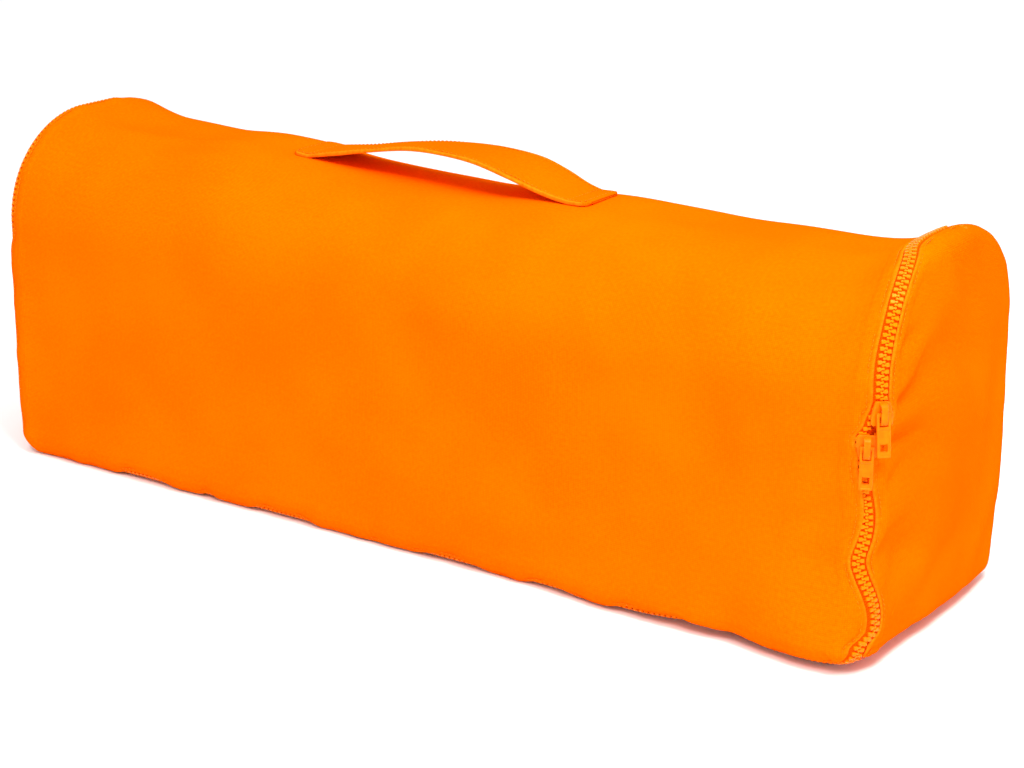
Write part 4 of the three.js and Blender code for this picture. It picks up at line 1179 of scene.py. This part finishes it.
# Just beside the zip's line, which tells the two halves apart where they spread.
BESIDE = 0.01 * MM
# Half outline of a tooth in millimetres: across from its tape side to its tip, and half its width there.
TOOTH_OUTLINE = table(
    "across half",
    (3.5, 0.95),
    (3.2, 1.18),
    (1.6, 1.18),
    (0.75, 0.62),
    (0.2, 0.66),
    (-0.35, 0.92),
    (-0.75, 0.8),
    (-1.0, 0.42),
)
# Layers of a tooth in millimetres: height over the cloth, and how far the outline draws in.
TOOTH_LAYERS = table(
    "height inset",
    (-1.8, 0.25),
    (-1.5, 0.0),
    (0.35, 0.0),
    (0.7, 0.14),
    (0.85, 0.42),
)


def tooth_shape():
    """Points and faces of one tooth: across, along and out."""
    rows = [(row["across"], row["half"]) for row in TOOTH_OUTLINE]
    around = rows + [(across, -half) for across, half in rows[::-1]]
    middle = sum(across for across, _ in rows) / len(rows)
    points = []
    for layer in TOOTH_LAYERS:
        for across, half in around:
            inset = layer["inset"]
            drawn = across - inset * np.sign(across - middle) * min(abs(across - middle), 1)
            points.append((drawn, half - np.sign(half) * min(inset, abs(half) * 0.7), layer["height"]))
    count = len(around)
    faces = []
    for layer in range(len(TOOTH_LAYERS) - 1):
        for k in range(count):
            low, high = layer * count, (layer + 1) * count
            faces.append((low + k, low + (k + 1) % count, high + (k + 1) % count, high + k))
    last = (len(TOOTH_LAYERS) - 1) * count
    for k in range(len(rows) - 1):
        faces.append((k, 2 * len(rows) - 1 - k, 2 * len(rows) - 2 - k, k + 1))
        faces.append((last + k, last + k + 1, last + 2 * len(rows) - 2 - k, last + 2 * len(rows) - 1 - k))
    return np.array(points) * MM, faces


def at_stations(values, stations):
    return np.stack([np.interp(stations, zip_run, values[:, k]) for k in range(3)], -1)


def zip_frames(half, stations):
    """Places of a row of teeth, with the directions across, along and out there."""
    base = at_stations(along_zip(half * BESIDE), stations)
    across = unit(at_stations(along_zip(half * MM), stations) - base)
    out = unit(at_stations(along_zip(half * BESIDE, MM), stations) - base)
    along = unit(np.cross(out, across))
    return base, across, along, unit(np.cross(across, along))


def laid_out(shape, faces, base, across, along, out):
    """Copies of a shape at many places, as one list of points and one of faces."""
    points = (
        base[:, None]
        + shape[None, :, 0:1] * across[:, None]
        + shape[None, :, 1:2] * along[:, None]
        + shape[None, :, 2:3] * out[:, None]
    )
    count = len(shape)
    joined = [tuple(k * count + i for i in face) for k in range(len(base)) for face in faces]
    return points.reshape(-1, 3), joined


tooth, tooth_faces = tooth_shape()
# The second half starts half a pitch later, so that the heads lie between each other.
for half, word, start in ((-1, "front", 0.5), (1, "body", 1.0)):
    stations = np.arange(start * TOOTH_PITCH, zip_run[-1] - TOOTH_PITCH / 2, TOOTH_PITCH)
    points, faces = laid_out(tooth, tooth_faces, *zip_frames(half, stations))
    teeth = new_piece(f"zip_teeth_{word}", points, faces, acetal, soft=False)
    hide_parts(f"zip_chain_{word}")
    print(len(stations), "teeth on the", word, "half")

# %% [markdown]
# Each row of teeth sits on a woven tape. Little of it shows between teeth and canvas, and the rest
# dips under the hem, where it is stitched. A short table gives the tape's section.

# %% Tapes
TAPE_THICKNESS = 0.5 * MM
TAPE_PAST_END = 12 * MM
TAPE_CLOSING = 0.6 * MM
TAPE_SINKING = 0.3 * MM
TAPE_ROUTE_SKIP = 4
# Distance from the zip's line and height over the cloth, in millimetres.
TAPE_SECTION = table(
    "off height",
    (-0.2, -0.4),
    (3.3, -0.35),
    (4.1, -1.0),
    (5.2, -1.75),
    (7.5, -2.1),
    (10.5, -3.0),
)
off = np.array([row["off"] for row in TAPE_SECTION]) * MM
sunk = np.array([row["height"] for row in TAPE_SECTION]) * MM
TAPE_LEAD = np.linspace(0, 1, 6)[1:]


def tape_row(offset, height):
    """The route beside the zip, run on past both ends, where the two tapes close up under the cloth."""
    points = along_zip(offset, height)[::TAPE_ROUTE_SKIP]
    ends = []
    for side, a in ((-1, route_a[0]), (1, route_a[-1])):
        away = side * (offset - np.sign(offset) * TAPE_CLOSING * TAPE_LEAD)
        ends.append(skin(a + away, ZIP_END + TAPE_PAST_END * TAPE_LEAD, height - TAPE_SINKING * TAPE_LEAD))
    return np.vstack([ends[0][::-1], points, ends[1]])


for half, word in ((-1, "front"), (1, "body")):
    upper = np.stack([tape_row(half * d, h) for d, h in zip(off, sunk)], 1)
    lower = np.stack([tape_row(half * d, h - TAPE_THICKNESS) for d, h in zip(off, sunk)], 1)
    faces = wall_faces(*upper.shape[:2], closed=False, capped=False)
    piece = new_piece(f"zip_tape_{word}", np.stack([upper, lower]), faces, tape)
    tape_run = run_length(upper[:, 1])
    flat = np.stack(np.broadcast_arrays(tape_run[:, None], off[None, :]), -1).reshape(-1, 2)
    note_cloth(piece, np.vstack([flat, flat]))

# %% [markdown]
# Two sliders meet on the right end, so the bag opens from the middle of that edge. A slider is a cast
# shell of two plates joined by a neck, with a crown on top that holds the pull. The plate is a shield:
# wide where the rows of teeth part, narrow at its nose. Its edges are bevelled by a modifier, as the
# real casting's are by its mould.

# %% Slider frames
SLIDER_MOUTH_WIDTH = 12.5 * MM
SLIDER_NOSE_WIDTH = 8.4 * MM
SLIDER_PLATE = 1.6 * MM
SLIDER_NECK = 1.6 * MM
BRIDGE_LENGTH = 12.6 * MM
BRIDGE_WIDTH = 4.2 * MM
BRIDGE_THICKNESS = 1.2 * MM
PULL_LENGTH = 24 * MM
PULL_WIDTH = 7.8 * MM
PULL_THICKNESS = 1.8 * MM
PULL_BAR = 2 * MM
PULL_WINDOW = 4 * MM
PLAY = 0.4 * MM
UNDER_PLAY = 1.2 * MM
PLATE_BASE = CHAIN_PROUD + PLAY
PLATE_TOP = PLATE_BASE + SLIDER_PLATE
BRIDGE_INNER = math.hypot(PULL_BAR, PULL_THICKNESS) / 2 + PLAY
AXIS_HEIGHT = PLATE_TOP + BRIDGE_INNER
SLIDER_BEVEL = 0.35 * MM
CROWN_NARROWS = 0.18
BEVEL_SEGMENTS = 3
BEVEL_ANGLE = math.radians(35)
# at is the place up the right end's edge, mouth the way it opens, and tilt its pull's angle in degrees.
SLIDERS = table(
    "name at mouth tilt",
    ("upper", upper_slider_b, -1, 9),
    ("lower", lower_slider_b, 1, 2),
)


def slider_frame(b):
    """X across the chain, Y up the chain and Z out of the cloth, at a place on the right end."""
    b = np.array([b])
    a = CREST + side_wave(1, b)
    origin = Vector(skin(a, b)[0])
    out = Vector(skin_facing(a, b)[0])
    across = Vector((0, 0, 1)).cross(out).normalized()
    along = out.cross(across).normalized()
    turned = Matrix((across, along, out)).transposed().to_4x4()
    return Matrix.Translation(origin) @ turned


print("the pulls' axis stands", round(AXIS_HEIGHT / MM, 2), "mm over the cloth")

# %% [markdown]
# Small castings are built from blocks: an outline drawn flat, its corners rounded, raised to a prism.
# Bmesh, Blender's mesh workshop, adds the points and faces one by one. The blocks of a piece are joined
# into one mesh, moved to their place, and a bevel modifier rounds their edges.


# %% Blocks for castings
def prism(shape, low, high):
    """A closed block from an outline in X and Y, between two heights."""
    work = bmesh.new()
    bottom = [work.verts.new((x, y, low)) for x, y in shape]
    top = [work.verts.new((x, y, high)) for x, y in shape]
    work.faces.new(bottom[::-1])
    work.faces.new(top)
    count = len(shape)
    for k in range(count):
        work.faces.new((bottom[k], bottom[(k + 1) % count], top[(k + 1) % count], top[k]))
    return work


def rounded(corners, radii, steps=5):
    """The outline with each corner turned into a small arc."""
    made = []
    for k, corner in enumerate(corners):
        corner, radius = Vector(corner), radii[k]
        before = (Vector(corners[k - 1]) - corner).normalized()
        after = (Vector(corners[(k + 1) % len(corners)]) - corner).normalized()
        half = before.angle(after) / 2
        reach = radius / math.tan(half)
        start, end = corner + before * reach, corner + after * reach
        for n in range(steps + 1):
            t = n / steps
            made.append(start * (1 - t) ** 2 + corner * 2 * t * (1 - t) + end * t**2)
    return [tuple(point) for point in made]


def shaped_piece(name, parts, matrix, material, body, bevel):
    """Joins bmesh blocks into one piece, placed by a matrix."""
    mesh = bpy.data.meshes.new(name)
    whole = bmesh.new()
    for part in parts:
        block = bpy.data.meshes.new("block")
        part.normal_update()
        part.to_mesh(block)
        part.free()
        whole.from_mesh(block)
        bpy.data.meshes.remove(block)
    bmesh.ops.transform(whole, matrix=matrix, verts=whole.verts)
    bmesh.ops.recalc_face_normals(whole, faces=whole.faces)
    whole.to_mesh(mesh)
    whole.free()
    mesh.polygons.foreach_set("use_smooth", [True] * len(mesh.polygons))
    mesh.materials.append(material)
    piece = bpy.data.objects.new(name, mesh)
    bpy.context.collection.objects.link(piece)
    edges = piece.modifiers.new("rounded_edges", "BEVEL")
    edges.width, edges.segments = bevel, BEVEL_SEGMENTS
    edges.limit_method, edges.angle_limit = "ANGLE", BEVEL_ANGLE
    edges.use_clamp_overlap = True
    normals = piece.modifiers.new("even_normals", "WEIGHTED_NORMAL")
    normals.keep_sharp = True
    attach(piece, body)
    print(name, len(mesh.polygons), "faces before its bevel")
    return piece


print("bevels have", BEVEL_SEGMENTS, "steps")

# %% [markdown]
# The slider's own blocks: an upper plate in the form of a shield, a smaller plate under the teeth, a
# neck between them at the mouth, and the crown, a flat bar that rises from one foot in an arc, runs
# level and comes down to the other.


# %% Sliders
def shield(low, high, mouth):
    """The upper plate, broad at the mouth, where the teeth part, and narrow at the nose."""
    half = SLIDER_LENGTH / 2
    wide, nose = SLIDER_MOUTH_WIDTH / 2, SLIDER_NOSE_WIDTH / 2
    waist = -half * 0.1
    corners = [(-wide, -half), (wide, -half), (wide, waist), (nose, half), (-nose, half), (-wide, waist)]
    radii = [2.2 * MM, 2.2 * MM, 4 * MM, 2 * MM, 2 * MM, 4 * MM]
    turn = 1 if mouth < 0 else -1
    return prism([(x * turn, y * turn) for x, y in rounded(corners, radii)], low, high)


def crown_path():
    """The crown's middle line, from foot over the top to foot, as places along and out."""
    half, rise = BRIDGE_LENGTH / 2 - BRIDGE_THICKNESS / 2, BRIDGE_INNER + BRIDGE_THICKNESS / 2
    path = [(-half, -BRIDGE_INNER - SLIDER_PLATE / 2)]
    for n in range(9):
        angle = math.pi - n / 8 * QUARTER
        path.append((rise - half + rise * math.cos(angle), rise * math.sin(angle)))
    path += [(-y, z) for y, z in path[::-1]]
    return path


def crown():
    """A flat bar that follows the crown's line, a little narrower at the top than at its feet."""
    work = bmesh.new()
    path = crown_path()
    rings = []
    for k, (y, z) in enumerate(path):
        y0, z0 = path[max(k - 1, 0)]
        y1, z1 = path[min(k + 1, len(path) - 1)]
        slope = Vector((y1 - y0, z1 - z0)).normalized()
        normal = Vector((-slope.y, slope.x)) * (BRIDGE_THICKNESS / 2)
        wide = BRIDGE_WIDTH / 2 * (1 - CROWN_NARROWS + CROWN_NARROWS * abs(y) / (BRIDGE_LENGTH / 2))
        ring = [(-wide, 1), (wide, 1), (wide, -1), (-wide, -1)]
        places = [(x, y + normal.x * s, z + normal.y * s + AXIS_HEIGHT) for x, s in ring]
        rings.append([work.verts.new(spot) for spot in places])
    for low, high in zip(rings, rings[1:]):
        for k in range(4):
            work.faces.new((low[k], low[(k + 1) % 4], high[(k + 1) % 4], high[k]))
    work.faces.new(rings[0])
    work.faces.new(rings[-1][::-1])
    return work


def slider_parts(mouth):
    """Upper plate, lower plate, the neck that joins them, and the crown."""
    lower_top = CHAIN_PROUD - CHAIN_THICKNESS - UNDER_PLAY
    turn = 1 if mouth < 0 else -1
    neck_y = sorted((turn * -SLIDER_LENGTH / 2, turn * (-SLIDER_LENGTH / 2 + SLIDER_LENGTH / 5)))
    half = SLIDER_NECK / 2
    neck = [(-half, neck_y[0]), (half, neck_y[0]), (half, neck_y[1]), (-half, neck_y[1])]
    nose, end = SLIDER_NOSE_WIDTH / 2, SLIDER_LENGTH / 2
    below = [(-nose, -end), (nose, -end), (nose, end), (-nose, end)]
    return [
        shield(PLATE_BASE, PLATE_TOP, mouth),
        prism(rounded(below, [1.5 * MM] * 4), lower_top - SLIDER_PLATE, lower_top),
        prism(neck, lower_top - SLIDER_PLATE / 2, PLATE_BASE + SLIDER_PLATE / 2),
        crown(),
    ]


for slider in SLIDERS:
    matrix = slider_frame(slider["at"])
    parts = slider_parts(slider["mouth"])
    piece = shaped_piece(f"{slider['name']}_slider", parts, matrix, lacquer, "bag", SLIDER_BEVEL)
    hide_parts(f"slider_{slider['name']}")

# %% [markdown]
# A pull tab is a flat casting: a loop at its top goes round the crown, and the rest is a plate with a
# raised rim and a small square window near its end. It is laid out as a grid of cells, the cells of
# the loop and the window are left out, the rest is thickened, and its two faces are sunk inside the rim.

# %% Pull tabs
RIM = 0.9 * MM
RIM_HEIGHT = 0.35 * MM
RIM_SLOPE = 0.25 * MM
PULL_CORNER = 1.3 * MM
PULL_BEVEL = 0.28 * MM
SAME_PLACE = 0.05 * MM


def pull_parts(tilt):
    """The pull hanging from its axis, which lies along X, tilted out from the slider."""
    half, top = PULL_WIDTH / 2, PULL_BAR / 2
    eye = BRIDGE_WIDTH / 2 + PLAY
    eye_end = -(BRIDGE_LENGTH / 2 + PLAY)
    window_low = 2 * PULL_THICKNESS - PULL_LENGTH
    window_high = window_low + PULL_WINDOW
    window = PULL_WINDOW / 2
    xs = [-half, -half + RIM, -eye, -window, window, eye, half - RIM, half]
    ys = [-PULL_LENGTH, -PULL_LENGTH + RIM, window_low, window_high, eye_end - RIM * 1.6, eye_end, -top, top]
    work = bmesh.new()
    thick = PULL_THICKNESS / 2
    grid = {(i, j): work.verts.new((x, y, -thick)) for i, x in enumerate(xs) for j, y in enumerate(ys)}
    panel_cells = []
    for i in range(len(xs) - 1):
        for j in range(len(ys) - 1):
            in_eye = 2 <= i <= 4 and j == 5
            in_window = i == 3 and j == 2
            if in_eye or in_window:
                continue
            face = work.faces.new((grid[i, j], grid[i + 1, j], grid[i + 1, j + 1], grid[i, j + 1]))
            if 1 <= i <= 5 and 1 <= j <= 3:
                panel_cells.append(face)
    middles = [face.calc_center_median().copy() for face in panel_cells]
    grown = bmesh.ops.extrude_face_region(work, geom=work.faces[:])
    for item in grown["geom"]:
        if isinstance(item, bmesh.types.BMVert):
            item.co.z = thick
    bmesh.ops.recalc_face_normals(work, faces=work.faces)
    corners = [
        edge
        for edge in work.edges
        if all(abs(abs(v.co.x) - half) < 1e-7 and abs(v.co.y + PULL_LENGTH) < 1e-7 for v in edge.verts)
        and abs(edge.verts[0].co.z - edge.verts[1].co.z) > thick
    ]
    bmesh.ops.bevel(work, geom=corners, offset=PULL_CORNER, segments=4, profile=0.5, affect="EDGES")
    for sign in (-1, 1):
        flat = [
            face
            for face in work.faces
            if face.normal.z * sign > 0.9
            and any((face.calc_center_median().xy - m.xy).length < SAME_PLACE for m in middles)
        ]
        bmesh.ops.inset_region(work, faces=flat, thickness=RIM_SLOPE, depth=-RIM_HEIGHT, use_boundary=True)
    hung = Matrix.Translation((0, 0, AXIS_HEIGHT)) @ Matrix.Rotation(-math.radians(tilt), 4, "X")
    bmesh.ops.transform(work, matrix=hung, verts=work.verts)
    return [work]


for slider in SLIDERS:
    matrix = slider_frame(slider["at"])
    body = f"tab_{slider['name']}"
    parts = pull_parts(slider["tilt"])
    piece = shaped_piece(f"{slider['name']}_pull", parts, matrix, lacquer, body, PULL_BEVEL)
    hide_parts(f"pull_{slider['name']}")

# %% [markdown]
# The handle is a strip of the same canvas, folded to a flat strap of several layers and sewn down at
# both ends. Stiff from its layers, it stands in a low arch and twists a little. Its section is a flat
# oval with two stitched grooves, carried along the arch ring by ring.

# %% Handle strap
STRAP_WIDTH = 42 * MM
STRAP_THICKNESS = 3 * MM
STRAP_LEFT = -140 * MM
STRAP_RIGHT = 98 * MM
STRAP_SETBACK = 6 * MM
STRAP_RISE = 21.5 * MM
STRAP_SEWN = 14 * MM
STRAP_SEAT = 0.55 * MM
STRAP_TWIST = 6 * MM
STRAP_ARCH = table(
    "run rise twist",
    (0.0, 0, 0),
    (0.12, 0.3, 0.2),
    (0.25, 0.64, 0.35),
    (0.4, 0.93, 0.4),
    (0.52, 1, 0.2),
    (0.65, 0.94, -0.3),
    (0.78, 0.68, -0.9),
    (0.88, 0.36, -0.8),
    (0.95, 0.12, -0.3),
    (1.0, 0, 0),
)
STRAP_STITCH_IN = 3 * MM
STRAP_END_ROUND = 7 * MM
STRAP_RING_STEP = 2.5 * MM
STRAP_SIDES = 56
STRAP_RUB_REACH = 1.5 * MM
STRAP_GROOVE = 0.35 * MM
STRAP_GROOVE_WIDTH = 0.9 * MM
STRAP_DIMPLE = 0.3 * MM
# Powers of the section's outline: 1 would be an ellipse, near 0 a plain rectangle.
STRAP_EDGE_POWER = 0.12
STRAP_FACE_POWER = 0.35
strap_length = STRAP_RIGHT - STRAP_LEFT
strap_b = TOP_MIDDLE + STRAP_SETBACK


def strap_half(run):
    """Half the strap's width: its corners are rounded at both ends."""
    near = np.minimum(run, strap_length - run)
    drop = np.clip(STRAP_END_ROUND - near, 0, STRAP_END_ROUND)
    return STRAP_WIDTH / 2 - STRAP_END_ROUND + np.sqrt(STRAP_END_ROUND**2 - drop**2)


def strap_place(run, across, height):
    """A point of the strap: across is measured from its middle line."""
    free = np.clip((run - STRAP_SEWN) / (strap_length - 2 * STRAP_SEWN), 0, 1)
    rise = from_table(STRAP_ARCH, "run", "rise", free) * STRAP_RISE
    twist = from_table(STRAP_ARCH, "run", "twist", free) * STRAP_TWIST
    point = skin(STRAP_LEFT + run, strap_b + across, height + STRAP_SEAT)
    point[..., 2] += rise - across / STRAP_WIDTH * twist
    return point


def strap_section(run, around):
    """Across and height of the strap's rounded outline, with a stitch groove near both edges."""
    half = strap_half(run)
    c, s = np.cos(around), np.sin(around)
    across = half * np.sign(c) * np.abs(c) ** STRAP_EDGE_POWER
    swell = np.sign(s) * np.abs(s) ** STRAP_FACE_POWER
    from_stitches = half - STRAP_STITCH_IN - np.abs(across)
    groove = np.exp(-((from_stitches / STRAP_GROOVE_WIDTH) ** 2)) * STRAP_GROOVE
    wave = STRAP_DIMPLE * np.sin(run / (9 * MM)) * np.sin(across / (11 * MM) + 0.8)
    height = STRAP_THICKNESS / 2 * (1 + swell) - groove * np.sign(s) * (np.abs(s) > 0.3) + wave * (s > 0)
    return across, height


print("the strap is", round(strap_length / MM), "mm from end to end")

# %% [markdown]
# The strap's mesh is a stack of closed rings. They lie closer together near both ends, where its corners
# are rounded and it thins to its folded edge.

# %% Strap mesh
STRAP_END_FINE = 0.7 * MM
STRAP_END_REACH = 6 * MM
STRAP_END_THINS = 1.4 * MM
strap_run = both_ends_fine(0, strap_length, STRAP_END_FINE, STRAP_END_REACH, STRAP_RING_STEP)
strap_around = np.linspace(0, 2 * math.pi, STRAP_SIDES, endpoint=False)
run_grid, around_grid = np.meshgrid(strap_run, strap_around, indexing="ij")
strap_across, strap_height = strap_section(run_grid, around_grid)
end_reach = np.minimum(run_grid, strap_length - run_grid)
end_swell = np.sqrt(1 - np.clip(1 - end_reach / STRAP_END_THINS, 0, 1) ** 2 * 0.9)
strap_height = STRAP_THICKNESS / 2 + (strap_height - STRAP_THICKNESS / 2) * end_swell
strap_points = strap_place(run_grid, strap_across, strap_height)
ids = np.arange(run_grid.size).reshape(run_grid.shape)
strap_faces = grid_quads(np.hstack([ids, ids[:, :1]])).tolist() + [ids[0].tolist(), ids[-1][::-1].tolist()]
strap = new_piece("handle", strap_points, strap_faces, strap_canvas)
strap_wear = np.exp(-(((STRAP_WIDTH / 2 - np.abs(strap_across)) / STRAP_RUB_REACH) ** 2)).ravel()
note_cloth(strap, np.stack([run_grid, strap_across], -1).reshape(-1, 2) + [0, 2 * LENGTH], strap_wear)
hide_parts("handle_strap")

# %% [markdown]
# Sewing shows as rows of short threads that dip into the cloth at each hole. One stitch is a small
# spindle, and a row of them is laid along any line of points with the same function as the teeth.
# The thread matches the canvas, so the rows are seen by their shadow more than by their colour.

# %% Stitches
STITCH_LENGTH = 2.7 * MM
STITCH_SPACING = 3.4 * MM
STITCH_RADIUS = 0.3 * MM
STITCH_SIDES = 6


def stitch_shape():
    """Across, along and out of a spindle that bows up in its middle."""
    points, faces = [], []
    profile = [(-0.5, 0.35, -0.35), (-0.3, 0.9, 0.0), (0.0, 1.0, 0.12), (0.3, 0.9, 0.0), (0.5, 0.35, -0.35)]
    for along, wide, lift in profile:
        for k in range(STITCH_SIDES):
            angle = 2 * math.pi * k / STITCH_SIDES
            across, out = math.cos(angle) * wide * STITCH_RADIUS, math.sin(angle) * wide * STITCH_RADIUS
            points.append((across, along * STITCH_LENGTH, out + lift * MM))
    for ring in range(len(profile) - 1):
        for k in range(STITCH_SIDES):
            low, high = ring * STITCH_SIDES, (ring + 1) * STITCH_SIDES
            nxt = (k + 1) % STITCH_SIDES
            faces.append((low + k, low + nxt, high + nxt, high + k))
    last = (len(profile) - 1) * STITCH_SIDES
    faces.append(tuple(range(STITCH_SIDES))[::-1])
    faces.append(tuple(range(last, last + STITCH_SIDES)))
    return np.array(points), faces


def stitch_frames(line, above, spacing=STITCH_SPACING):
    """Stations along a line of points; above is the same line a little out of the cloth."""
    run = run_length(line)
    stations = np.arange(spacing / 2, run[-1] - spacing / 2, spacing)

    def take(points, at):
        return np.stack([np.interp(at, run, points[:, k]) for k in range(3)], -1)

    base = take(line, stations)
    along = unit(take(line, stations + MM) - take(line, stations - MM))
    out = unit(take(above, stations) - base)
    across = unit(np.cross(along, out))
    return base, across, along, unit(np.cross(across, along))


def stitch_rows(name, rows):
    """Lays stitches along several lines and makes one piece of them."""
    shape, faces = stitch_shape()
    frames = [np.vstack(parts) for parts in zip(*(stitch_frames(*row) for row in rows))]
    points, joined = laid_out(shape, faces, *frames)
    piece = new_piece(name, points, joined, thread)
    print(name, "has", len(frames[0]), "stitches")
    return piece


print("a stitch is", STITCH_LENGTH / MM, "mm long")

# %% [markdown]
# One row holds the wrap's hem to the zip's tape, and one the hems of the ends and the underside. The
# front row moves with the cloth where it hangs over the zip. A bar tack, a few close rows across both
# tapes, stops the zip from tearing at its two ends.

# %% Rows beside the zip
STITCH_SEAT = 0.12 * MM
hem_off = CLOTH_EDGE + HEM_STITCH
hem_seat = float(hem_height(np.array(HEM_STITCH))) + STITCH_SEAT


def hem_row(half):
    """The stitches beside the zip, on the wrap (-1) or on the end panels and underside (1)."""
    away = half * (route_spread + hem_off)
    place = route_place + route_out * away[:, None]
    aside, down, up = hang(place[:, 0], place[:, 1])
    share = float(half < 0)
    a, b = place[:, 0] + aside * share, place[:, 1] + down * share
    seat = hem_seat + up * share
    line = skin(a, b, seat)
    line[:, 2] = np.maximum(line[:, 2], STITCH_RADIUS + LOWEST)
    return line, line + skin(a, b, MM) - skin(a, b, 0)


stitch_rows("stitches_zip_front", [hem_row(-1)])
stitch_rows("stitches_zip_body", [hem_row(1)])

TACK_ROWS = 5
TACK_SPACING = 0.75 * MM
TACK_HALF = 3.5 * MM
TACK_STITCH = 2.9 * MM
tack_across = np.linspace(-TACK_HALF, TACK_HALF, 30)
tacks = []
for a_end in (route_a[0], route_a[-1]):
    for row in range(TACK_ROWS):
        b_row = np.full_like(tack_across, ZIP_END + MM + row * TACK_SPACING)
        line = skin(a_end + tack_across, b_row, 0.1 * MM)
        tacks.append((line, skin(a_end + tack_across, b_row, MM), TACK_STITCH))
stitch_rows("zip_end_tacks", tacks)

# %% [markdown]
# The strap has a row near each long edge, which holds its layers together, and two rows across each end,
# which hold it to the bag.

# %% Rows on the strap
strap_rows = []
edge_in = STRAP_WIDTH / 2 - STRAP_STITCH_IN
fine_run = np.linspace(STRAP_STITCH_IN, strap_length - STRAP_STITCH_IN, 600)
side_height = STRAP_THICKNESS - 0.2 * MM
for across in (-edge_in, edge_in):
    line = strap_place(fine_run, np.full_like(fine_run, across), side_height)
    strap_rows.append((line, strap_place(fine_run, np.full_like(fine_run, across), side_height + MM)))
fine_across = np.linspace(-edge_in, edge_in, 80)
for run in (STRAP_STITCH_IN, STRAP_SEWN, strap_length - STRAP_SEWN, strap_length - STRAP_STITCH_IN):
    line = strap_place(np.full_like(fine_across, run), fine_across, STRAP_THICKNESS + 0.05 * MM)
    strap_rows.append((line, strap_place(np.full_like(fine_across, run), fine_across, STRAP_THICKNESS + MM)))
stitch_rows("stitches_strap", strap_rows)

# %% [markdown]
# A plain pale floor and soft lamps stand in for a photo studio. The floor and the world are nearly
# white, so light comes back from everywhere and shadows stay open. The key lamp is a softbox high at
# the front right, which shades the folds. A wide one above fills the top. A small one, low on the right,
# makes the glints on the teeth. A broad sun keeps the floor even out to the edge of the picture.

# %% Floor
FLOOR_SIZE = 14.0

board, tree = new_material("painted_board")
speckle = node(tree, "ShaderNodeTexNoise", inputs={"Scale": 3.0, "Detail": 2.0}).outputs["Fac"]
tint = node(tree, "ShaderNodeValToRGB", {"Fac": speckle}, stops={0.0: "#f4f4f4", 1.0: "#f8f8f8"})
matt = {"Roughness": 0.9, "IOR": 1.45, "Specular IOR Level": 0.1}
shader = node(tree, "ShaderNodeBsdfPrincipled", {"Base Color": tint.outputs["Color"]}, matt)
node(tree, "ShaderNodeOutputMaterial", {"Surface": shader.outputs["BSDF"]})
bpy.ops.mesh.primitive_plane_add(size=FLOOR_SIZE)
floor = bpy.context.object
floor.name = "floor"
floor.data.materials.append(board)
print("floor", FLOOR_SIZE, "m wide")

# %% [markdown]
# Area lamps give soft edges to the shadows: the wider the lamp, the softer. All of them point at the
# camera's target. The world adds an even light from everywhere, as white studio walls would.

# %% Lamps and world
# Places in metres: across the floor, towards the back, and up.
LAMPS = table(
    "name at size power tint",
    ("key", (0.75, -0.5, 1.2), 0.4, 13.5, "#fffaf2"),
    ("glint", (1.25, -0.85, 0.3), 0.22, 2.2, "#ffffff"),
    ("top", (0.1, -0.2, 1.7), 1.0, 10, "#ffffff"),
)
for lamp in LAMPS:
    data = bpy.data.lights.new(lamp["name"], "AREA")
    data.energy, data.size = lamp["power"], lamp["size"]
    data.color = colour(lamp["tint"])[:3]
    light = bpy.data.objects.new(lamp["name"], data)
    bpy.context.collection.objects.link(light)
    light.location = lamp["at"]
    light.rotation_euler = (CAMERA_TARGET - light.location).to_track_quat("-Z", "Y").to_euler()

SUN_TURN = math.radians(25)
SUN_HEIGHT = math.radians(50)
SUN_STRENGTH = 1.35
SUN_SPREAD = math.radians(14)
data = bpy.data.lights.new("sun", "SUN")
data.energy, data.angle = SUN_STRENGTH, SUN_SPREAD
sun = bpy.data.objects.new("sun", data)
bpy.context.collection.objects.link(sun)
sun.rotation_euler = (-direction(SUN_TURN, SUN_HEIGHT)).to_track_quat("-Z", "Y").to_euler()

WORLD_STRENGTH = 0.72
world = bpy.data.worlds.new("studio")
bpy.context.scene.world = world
world.use_nodes = True
world.node_tree.nodes["Background"].inputs["Color"].default_value = colour("#ffffff")
world.node_tree.nodes["Background"].inputs["Strength"].default_value = WORLD_STRENGTH
bpy.context.scene.view_settings.view_transform = "Standard"
print("lamps:", [lamp["name"] for lamp in LAMPS])
